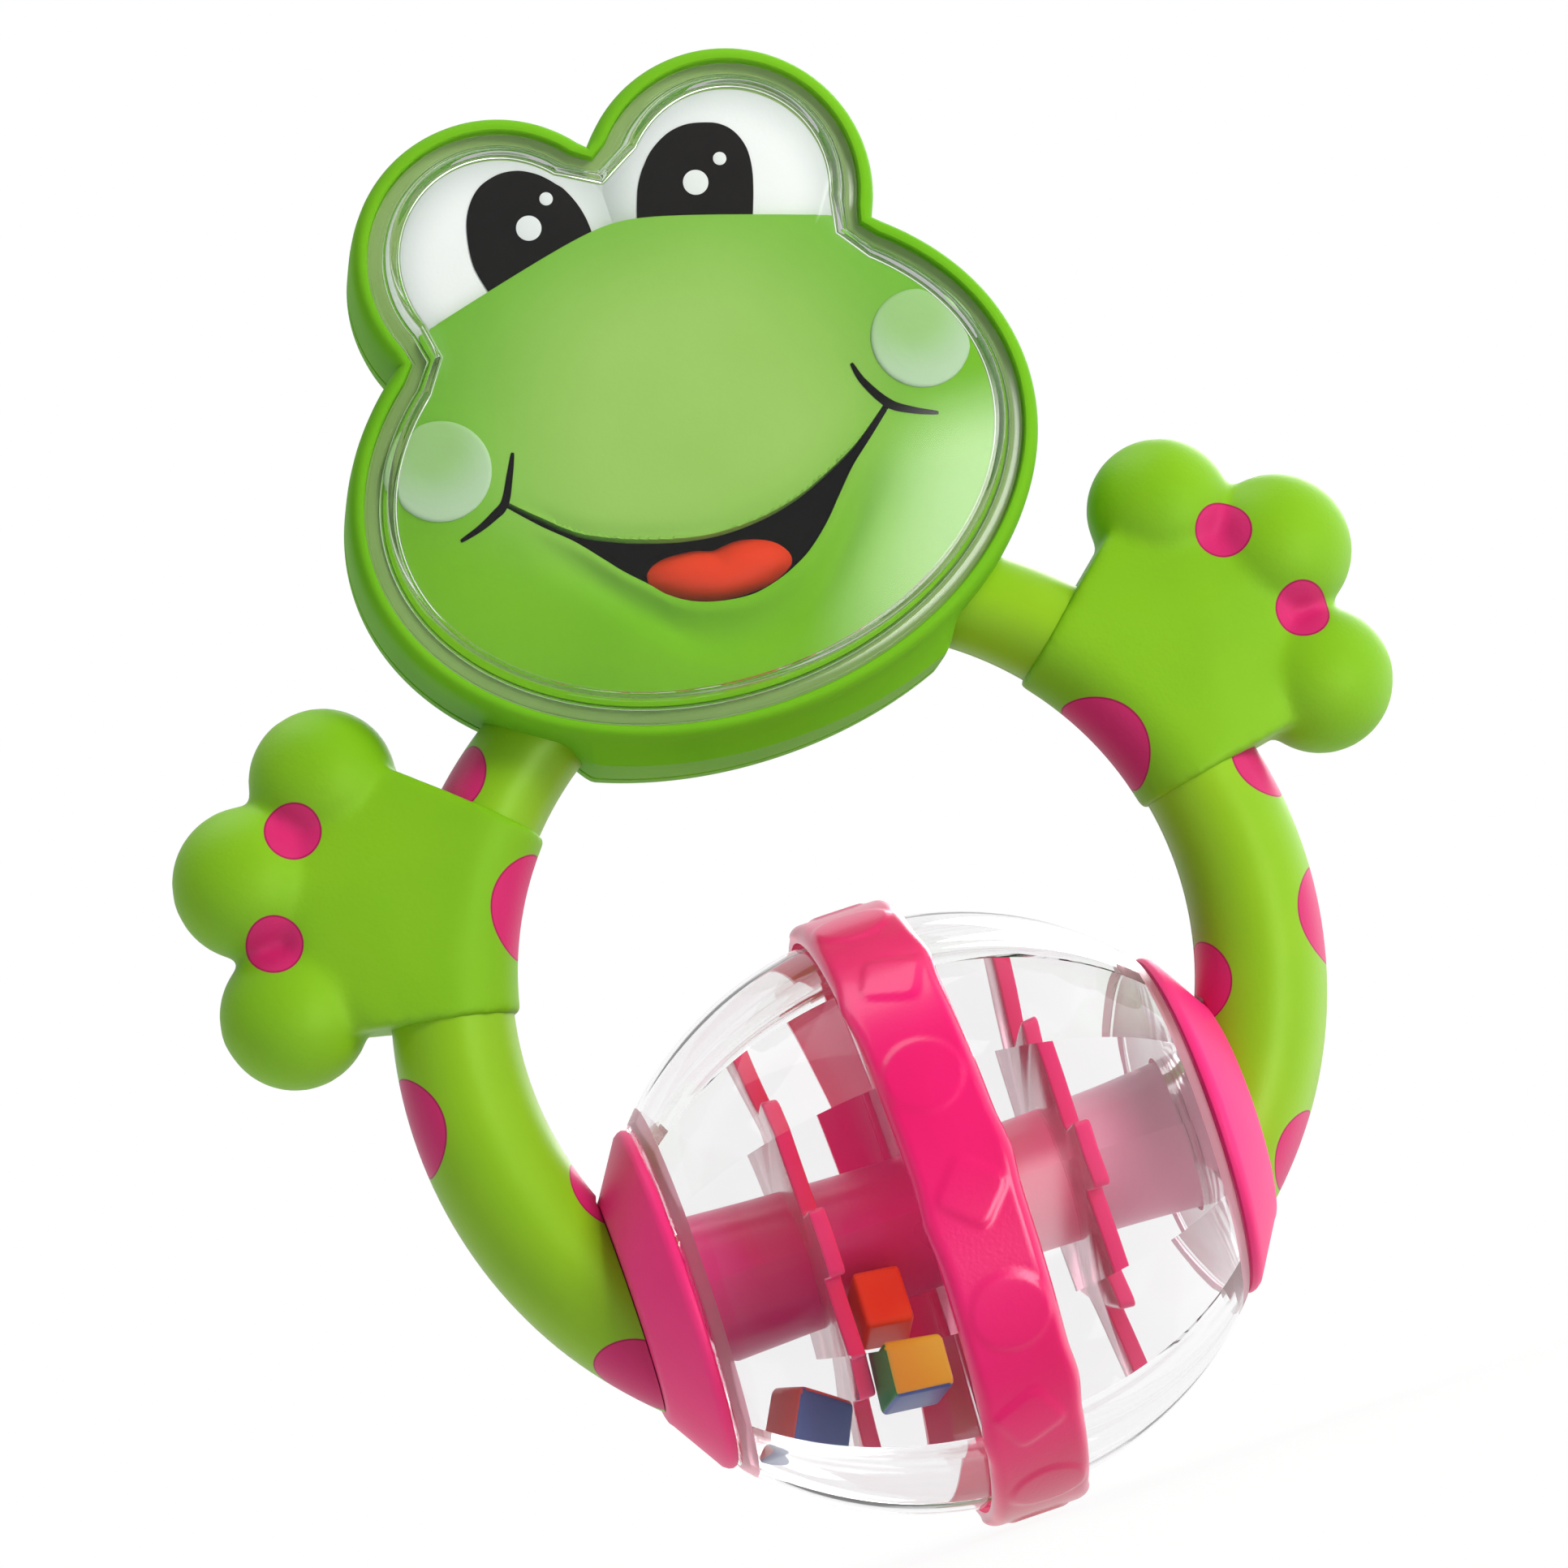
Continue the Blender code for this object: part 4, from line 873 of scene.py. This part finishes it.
tongue = {
    "outline": (
        (-8.7, -9.4), (-7.8, -8.7), (-6.0, -8.3), (-3.2, -8.5), (-1.2, -9.1), (0.0, -9.0), (1.7, -8.9), (3.8, -9.4),
        (5.5, -10.3), (6.5, -11.5), (6.7, -12.6), (6.0, -13.5), (3.9, -14.4), (1.4, -14.7), (-1.9, -14.5),
        (-5.0, -13.5), (-7.3, -12.1), (-8.7, -10.6),
    ),
    "middle": (-1.0, -11.6), "back": -9.5, "rim": -9.8, "rise": 1.7,
    "shares": (1.0, 0.98, 0.93, 0.84, 0.7, 0.5, 0.25, 0.06),
    "groove": 0.3, "grooveX": -0.6, "grooveWidth": 1.2, "grooveSpan": (-12.5, -9.0),
}


def buildTongue():
    edge = smoothLine(tongue["outline"] + tongue["outline"][:1], 6)[:-1][::-1]
    rings = [atDepth(edge, tongue["back"])]
    for share in tongue["shares"]:
        rise = tongue["rise"] * (1 - share**3.2)

        def padDepth(x, z):
            groove = tongue["groove"] * bell(x - tongue["grooveX"], tongue["grooveWidth"])
            return tongue["rim"] - rise * (1 - groove * smoothStep(*tongue["grooveSpan"], z))

        rings.append(atDepth(shrink(edge, share, tongue["middle"]), padDepth))
    finishPiece("tongue_pad", joinRings(rings), "tongue", "root", ["tongue"], sharp=60)


cheek = {
    "radius": 5.45,
    "rings": (  # share of the radius, rise
        (1.0, -0.6), (1.0, 0.1), (0.97, 0.22), (0.92, 0.28), (0.88, 0.25), (0.7, 0.38), (0.67, 0.36), (0.5, 0.45),
        (0.47, 0.43), (0.3, 0.48), (0.05, 0.5),
    ),
}


def buildCheeks():
    for name, _ in sides:
        x, z = face["cheeks"][name]
        rows = cheek["rings"]
        rings = [atDepth(circle(x, z, cheek["radius"] * share, 72), faceDepth, rise) for share, rise in rows]
        finishPiece(f"cheek_{name}", joinRings(rings), f"cheek_{name}", "root", [], sharp=60)


buildCasing()
buildWindow()
buildFace()
buildPupils()
buildSmile()
buildTongue()
buildCheeks()
print("head: casing, window, face and cheeks")

arm = {  # mm and degrees round the ring's centre
    "ring": 37.05, "low": 7.3, "high": 5.3, "lowAngle": -35.0, "highAngle": 62.0, "taper": 1.5,
    "start": -64.0, "end": 66.0, "gap": 0.1,
    "seat": (  # room for the collar: x, radius
        (34.62, 0.02), (34.62, 12.85), (33.2, 14.62), (33.2, 27.0), (0.5, 27.0), (0.5, 0.02),
    ),
}


def armRadius(angle):
    share = min(max((angle - arm["lowAngle"]) / (arm["highAngle"] - arm["lowAngle"]), 0.0), 1.0)
    return arm["low"] + (arm["high"] - arm["low"]) * share ** arm["taper"]


def armCentre(side, angle):
    out = arm["ring"] + armRadius(angle)
    return Vector((side * out * math.cos(math.radians(angle)), 0, out * math.sin(math.radians(angle))))


def armRings(side, thicker, first, last, count, around=64):
    rings = []
    for angle in evenSteps(first, last, count):
        turn = math.radians(angle)
        outward = Vector((side * math.cos(turn), 0, math.sin(turn)))
        radius = armRadius(angle) + thicker
        centre = armCentre(side, angle)
        ring = []
        for a in evenSteps(0, math.tau, around)[:-1]:
            point = centre + radius * (math.cos(a) * outward + Vector((0, math.sin(a), 0)))
            ring.append(point * mm + Vector((0, 0, ringZ)))
        rings.append(ring)
    return rings


def buildArms():
    for name, side in sides:
        for half, facing in (("front", -1), ("rear", 1)):
            bm = joinRings(armRings(side, 0.0, arm["start"], arm["end"], 80))
            geom = bm.verts[:] + bm.edges[:] + bm.faces[:]
            middle = (0, facing * arm["gap"] * mm, 0)
            bmesh.ops.bisect_plane(bm, geom=geom, plane_co=middle, plane_no=(0, -facing, 0), clear_outer=True)
            bmesh.ops.holes_fill(bm, edges=[e for e in bm.edges if e.is_boundary])
            piece = finishPiece(f"arm_{name}_{half}", bm, "arm", "root", [f"{name}_arm_{half}"])
            seat = turnProfile(arm["seat"], 96, side)
            bmesh.ops.translate(seat, vec=(0, 0, axleZ), verts=seat.verts)
            cutAway(piece, seat)


hand = {
    "fingers": ((48.0, 37.5, 8.1), (58.9, 29.5, 8.4), (58.7, 14.4, 8.2)), "flatten": 0.86,  # out, up, radius
    "palm": (48.0, 24.5, 6.5),
    "base": (0.62, 0.45, 5.6),  # knuckles: share of the way to the finger, share of its radius, depth
    "corner": (52.5, 3.2, 5.3),  # out, half width, depth
    "sleeve": (11.0, 41.5), "wall": 0.7, "beyond": 5.0, "wristBeyond": 6.0, "wristShare": 0.995,
    "cutOut": 55.0, "cutSize": (60.0, 50.0, 16.0), "tipShare": 0.985, "voxel": 0.4, "smooth": 15, "soften": 20,
}


def handPoint(side, out, up):
    return (side * out * mm, 0, ringZ + up * mm)


def addLobe(bm, centre, radii, subdivisions=4):
    made = bmesh.ops.create_icosphere(bm, subdivisions=subdivisions, radius=1.0)
    bmesh.ops.transform(bm, matrix=Matrix.Translation(centre) @ Matrix.Diagonal((*radii, 1.0)), verts=made["verts"])


def addFingers(bm, side, fingers, share=1.0):
    for out, up, radius in fingers:
        size = radius * share * mm
        addLobe(bm, handPoint(side, out, up), (size, size * hand["flatten"], size))


# the tight skin round a few lobes, added to bm
def addHull(bm, lobes):
    soft = bmesh.new()
    for centre, radii in lobes:
        addLobe(soft, centre, radii, 3)
    hull = bmesh.ops.convex_hull(soft, input=soft.verts)
    inner = [v for v in hull["geom_interior"] if isinstance(v, bmesh.types.BMVert)]
    bmesh.ops.delete(soft, geom=inner, context="VERTS")
    keep = {f for f in hull["geom"] if isinstance(f, bmesh.types.BMFace)}
    bmesh.ops.delete(soft, geom=[f for f in soft.faces if f not in keep], context="FACES_ONLY")
    skin = bpy.data.meshes.new("skin")
    soft.to_mesh(skin)
    soft.free()
    bm.from_mesh(skin)
    bpy.data.meshes.remove(skin)


# one even skin, relaxed until its edges are soft
def softenSkin(piece, rounds):
    remesh = piece.modifiers.new("skin", "REMESH")
    remesh.mode, remesh.voxel_size = "VOXEL", hand["voxel"] * mm
    relax = piece.modifiers.new("relax", "SMOOTH")
    relax.factor, relax.iterations = 0.5, rounds
    bakeModifiers(piece, 60)


def addPalm(bm, side):
    palmOut, palmUp, palmDeep = hand["palm"]
    share, narrow, deep = hand["base"]
    knuckles = [(handPoint(side, palmOut, palmUp), (palmDeep * mm,) * 3)]
    for out, up, radius in hand["fingers"]:
        at = handPoint(side, palmOut + share * (out - palmOut), palmUp + share * (up - palmUp))
        knuckles.append((at, (radius * narrow * mm, deep * mm, radius * narrow * mm)))
    first, last = hand["sleeve"]
    out, wide, deep = hand["corner"]
    for angle in (math.radians(first), math.radians(last)):
        at = handPoint(side, out * math.cos(angle), out * math.sin(angle))
        knuckles.append((at, (wide * mm, deep * mm, wide * mm)))
    wrist = []
    for angle in evenSteps(first - hand["wristBeyond"], last + hand["wristBeyond"], 7):
        size = (armRadius(angle) + hand["wall"]) * hand["wristShare"] * mm
        wrist.append((armCentre(side, angle) * mm + Vector((0, 0, ringZ)), (size, size, size)))
    for pair in zip(wrist, wrist[1:]):
        addHull(bm, [*knuckles, *pair])


def buildHands():
    first, last = hand["sleeve"]
    long, wide, deep = (length * mm for length in hand["cutSize"])
    for name, side in sides:
        bm = bmesh.new()
        addFingers(bm, side, hand["fingers"])
        addPalm(bm, side)
        joinRings(armRings(side, hand["wall"], first - hand["beyond"], last + hand["beyond"], 26), bm=bm)
        piece = finishPiece(f"hand_{name}", bm, "hand", "root", [f"{name}_hand"], sharp=60)
        softenSkin(piece, hand["smooth"])
        ends = bmesh.new()  # both ends are cut clean across, and the outer fingers come through the cut
        for angle, beyond in ((first, -1), (last, 1)):
            made = bmesh.ops.create_cube(ends, size=1.0)
            turn = math.radians(angle if side > 0 else 180 - angle)
            place = Matrix.Translation((0, 0, ringZ)) @ Matrix.Rotation(-turn, 4, "Y")
            place = place @ Matrix.Translation((hand["cutOut"] * mm, 0, side * beyond * deep / 2))
            bmesh.ops.transform(ends, matrix=place @ Matrix.Diagonal((long, wide, deep, 1)), verts=made["verts"])
        cutAway(piece, ends, sharp=45)
        tips = bmesh.new()
        addFingers(tips, side, hand["fingers"][::2], hand["tipShare"])
        cutAway(piece, tips, "UNION", 45)
        softenSkin(piece, hand["soften"])


collar = {
    "front": 28.95, "back": 34.5, "radius": 19.0, "backRadius": 12.7, "bore": 3.3, "recess": 7.75, "recessEnd": 30.8,
}


def buildCollars():
    front, back, big, small = (collar[key] for key in ("front", "back", "radius", "backRadius"))
    bore, recess, recessEnd = (collar[key] for key in ("bore", "recess", "recessEnd"))
    profile = (
        (recessEnd, bore), (back, bore), (back, small - 0.7), (back - 0.12, small - 0.3), (back - 0.4, small + 0.05),
        (front + 1.5, big - 0.45), (front + 1.0, big - 0.1), (front + 0.6, big), (front + 0.2, big - 0.12),
        (front, big - 0.4), (front, recess), (recessEnd, recess),
    )
    for name, side in sides:
        bm = turnProfile(profile, 120, side)
        finishPiece(f"cone_{name}", bm, "collar", "root", [f"{name}_collar"], lift=axleZ)
    setLook("axle", "steel")


buildArms()
buildHands()
buildCollars()
print("ring: arms, hands and collars")

ball = {
    "radius": 32.0, "reach": 36.0, "end": 28.7, "wall": 1.6, "split": 0.1, "hole": 7.55,
    "facets": 14, "facetSteps": 8, "open": 1.012, "facetInner": 9.0, "skin": 1.2,  # flat panels inside
    "edge": 1.1, "edgeDepth": 0.5,  # a dark pink ring beside the collar: painted shade where the shaded collar shows through the clear wall
}


def shellRadius(x, wall=0.0):
    return (ball["radius"] - wall) * math.sqrt(max(0.0, 1 - (x / (ball["reach"] - wall)) ** 2))


def radiusOf(point):
    return math.hypot(point.y, point.z) / mm


def turnOf(point):
    return math.atan2(point.y, point.z)


def moveOut(v, share):
    v.co.y, v.co.z = v.co.y * share, v.co.z * share


def buildShells():
    end, wall, hole = ball["end"], ball["wall"], ball["hole"]
    rim = shellRadius(end)
    profile = [(x, shellRadius(x)) for x in evenSteps(ball["split"], end - 0.25, 26)]
    profile += [(end - 0.05, rim - 0.05), (end, rim - 0.35), (end, hole), (end - wall, hole)]
    profile += [(x, shellRadius(x, wall)) for x in evenSteps(end - wall, ball["split"], 22)]
    wedge = math.tau / ball["facets"]
    for name, side in sides:
        bm = turnProfile(profile, ball["facets"] * ball["facetSteps"], side)
        for v in bm.verts:  # each panel's middle lies closer to the axle than its edges
            x = abs(v.co.x) / mm
            if x < end - wall + 0.01 and ball["facetInner"] < radiusOf(v.co) < shellRadius(x) - ball["skin"]:
                turn = (turnOf(v.co) + wedge / 2) % wedge - wedge / 2
                moveOut(v, ball["open"] * math.cos(wedge / 2) / math.cos(turn))
        # faces by each end get the dark pink ring: painted shade
        for f in bm.faces:
            middle = f.calc_center_median()
            outer = abs(middle.x) > (end - ball["edge"]) * mm and radiusOf(middle) > rim - ball["edgeDepth"]
            f.material_index = int(outer)
        tones = ["shell", "shadedShellRim"]
        finishPiece(f"clear_{name}", bm, tones, "ball", [f"{name}_shell"], sharp=16, lift=axleZ)


band = {
    "radius": 33.92, "inside": 32.3, "half": 5.4, "edge": 1.4, "inner": 0.15, "shapes": 16,
    "circle": 4.2, "square": 3.0, "relief": 0.22, "reliefEdge": (-0.3, 0.35),
    "stray": (0.5, 2.4), "lean": 0.6,  # the shapes don't stand quite in line
    "wave": 0.45, "wavePhases": (2.1, 0.8),
}


# raised circles and squares in turn
def bandRelief(turn, x):
    pitch = math.tau / band["shapes"]
    number = round(turn / pitch)
    along = (turn - number * pitch) * band["radius"]
    x -= band["stray"][0] * math.sin(number * band["stray"][1])
    if number % 2:
        away = band["circle"] - math.hypot(along, x)
    else:
        lean = number * band["lean"]
        u, v = along * math.cos(lean) + x * math.sin(lean), x * math.cos(lean) - along * math.sin(lean)
        away = band["square"] - (abs(u) ** 6 + abs(v) ** 6) ** (1 / 6)
    return band["relief"] * smoothStep(*band["reliefEdge"], away)


def buildBand():
    half, edge, top, inside = (band[key] for key in ("half", "edge", "radius", "inside"))
    angles = evenSteps(-0.25, math.pi / 2, 8)
    rounded = [(half - edge * (1 - math.cos(a)), top - edge * (1 - math.sin(a))) for a in angles]
    flat = [(x, top) for x in evenSteps(half - edge, 0.0, 12)[1:]]
    profile = [(band["inner"] - half, inside), (half - band["inner"], inside)]
    profile += rounded + flat + [(-x, r) for x, r in reversed(rounded + flat[:-1])]
    bm = turnProfile(profile, 480)
    start = top - edge * 0.9  # the relief fades out towards the rounded edges
    for v in bm.verts:
        r, turn = radiusOf(v.co), turnOf(v.co)
        wave = max(0.0, math.sin(turn * band["shapes"] / 2 + band["wavePhases"][int(v.co.x > 0)])) ** 3
        v.co.x *= 1 + band["wave"] * wave / half * smoothStep(inside + 0.2, top - edge * 0.5, r)
        if r > start:
            moveOut(v, 1 + bandRelief(turn, v.co.x / mm) / r * smoothStep(start, top - 0.1, r))
    finishPiece("band", bm, "band", "ball", ["grip_band"], sharp=50, lift=axleZ)


spool = {
    "radius": 7.25, "inside": 4.6, "end": 29.0, "pitch": 14.5, "thick": 1.8, "arm": 26.0, "shoulder": 16.5,
    "tip": 7.5, "reach": 23.5, "corner": 0.9, "soft": 0.3,
}


def buildSpool():
    end, inside, outside, soft = (spool[key] for key in ("end", "inside", "radius", "soft"))
    profile = [(-end, inside), (0, inside), (end, inside), (end, outside - 0.25), (end - soft, outside)]
    profile += [(0, outside), (soft - end, outside), (-end, outside - 0.25)]
    hub = turnProfile(profile, 72)
    for f in hub.faces:  # the tube's half beyond the middle plate is paler: painted light for its lit side
        f.material_index = int(f.calc_center_median().x > 0)
    finishPiece("hub", hub, ["hub", "litHubSide"], "ball", ["spool_hub"], lift=axleZ)
    a, t, s, r = spool["arm"] / 2, spool["tip"] / 2, spool["shoulder"], spool["reach"]
    quarter = [(a, a), (s, a), (s, t), (r, t), (r, -t), (s, -t), (s, -a)]
    outline = [tuple(Matrix.Rotation(-math.pi / 2 * k, 2) @ Vector(point)) for k in range(4) for point in quarter]
    half = spool["thick"] / 2
    soften = {"profile": 0.5, "affect": "EDGES", "material": -1}
    for name, place in (("left", -spool["pitch"]), ("middle", 0.0), ("right", spool["pitch"])):
        bm = bmesh.new()
        loops = [addLoop(bm, [((place + x) * mm, y * mm, z * mm) for y, z in outline]) for x in (-half, half)]
        bmesh.ops.bridge_loops(bm, edges=loops[0] + loops[1])
        corners = [e for e in bm.edges if abs(e.verts[0].co.x - e.verts[1].co.x) > half * mm]
        bmesh.ops.bevel(bm, geom=corners, offset=spool["corner"] * mm, segments=4, **soften)
        for x in (-half, half):
            ends = [e for e in bm.edges if e.is_boundary and abs(e.verts[0].co.x - (place + x) * mm) < 1e-7]
            bmesh.ops.contextual_create(bm, geom=ends)
        rims = {e for f in bm.faces if abs(f.normal.x) > 0.9 for e in f.edges}
        bmesh.ops.bevel(bm, geom=list(rims), offset=soft * mm, segments=3, **soften)
        for f in bm.faces:  # the broad sides are clearer than the edges
            f.material_index = int(abs(f.normal.x) > 0.9)
        tones = ["plateEdge", "plateFace"]
        finishPiece(f"star_{name}", bm, tones, "ball", [f"{name}_baffle"], lift=axleZ)
    for name, _ in sides:
        setLook(f"{name}_bush", "bush")


beads = {
    "bead_red_blue": {
        "body": "red_blue_bead", "size": 6.7, "turn": (-6.0, 28.0, 28.0), "shift": (-0.7, 0.0, -1.5),
        "faces": {"-x": "red", "+x": "red", "-y": "blue", "+y": "blue", "-z": "blue", "+z": "red"},
    },
    "bead_green_yellow": {
        "body": "green_yellow_bead", "size": 6.6, "turn": (-12.0, 4.0, 14.0), "shift": (-2.2, -0.6, -0.6),
        "faces": {"-x": "green", "+x": "red", "-y": "yellow", "+y": "green", "-z": "blue", "+z": "yellow"},
    },
    "bead_orange": {
        "body": "orange_bead", "size": 5.3, "turn": (-20.0, 3.0, 10.0), "shift": (-2.6, 0.0, -0.5),
        "faces": {"-x": "orange", "+x": "red", "-y": "orange", "+y": "red", "-z": "orange", "+z": "orange"},
    },
}
beadEdge = 0.6


def buildBeads():
    for node, bead in beads.items():
        low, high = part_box(node)
        bm = bmesh.new()
        bmesh.ops.create_cube(bm, size=bead["size"] * mm)
        tones = sorted(set(bead["faces"].values()))
        for f in bm.faces:
            axis = max(range(3), key=lambda k: abs(f.normal[k]))
            f.material_index = tones.index(bead["faces"][("-" if f.normal[axis] < 0 else "+") + "xyz"[axis]])
        bmesh.ops.bevel(
            bm, geom=bm.edges[:], offset=beadEdge * mm, segments=5, profile=0.5, affect="EDGES", material=-1
        )
        place = Matrix.Translation((low + high) / 2 + Vector(bead["shift"]) * mm)
        for angle, axis in zip(bead["turn"], "XYZ"):
            place = place @ Matrix.Rotation(math.radians(angle), 4, axis)
        bmesh.ops.transform(bm, matrix=place, verts=bm.verts)
        finishPiece(node.replace("bead", "cube"), bm, ["bead_" + tone for tone in tones], bead["body"], [node])


buildShells()
buildBand()
buildSpool()
buildBeads()
print("ball: shells, band, spool and beads")
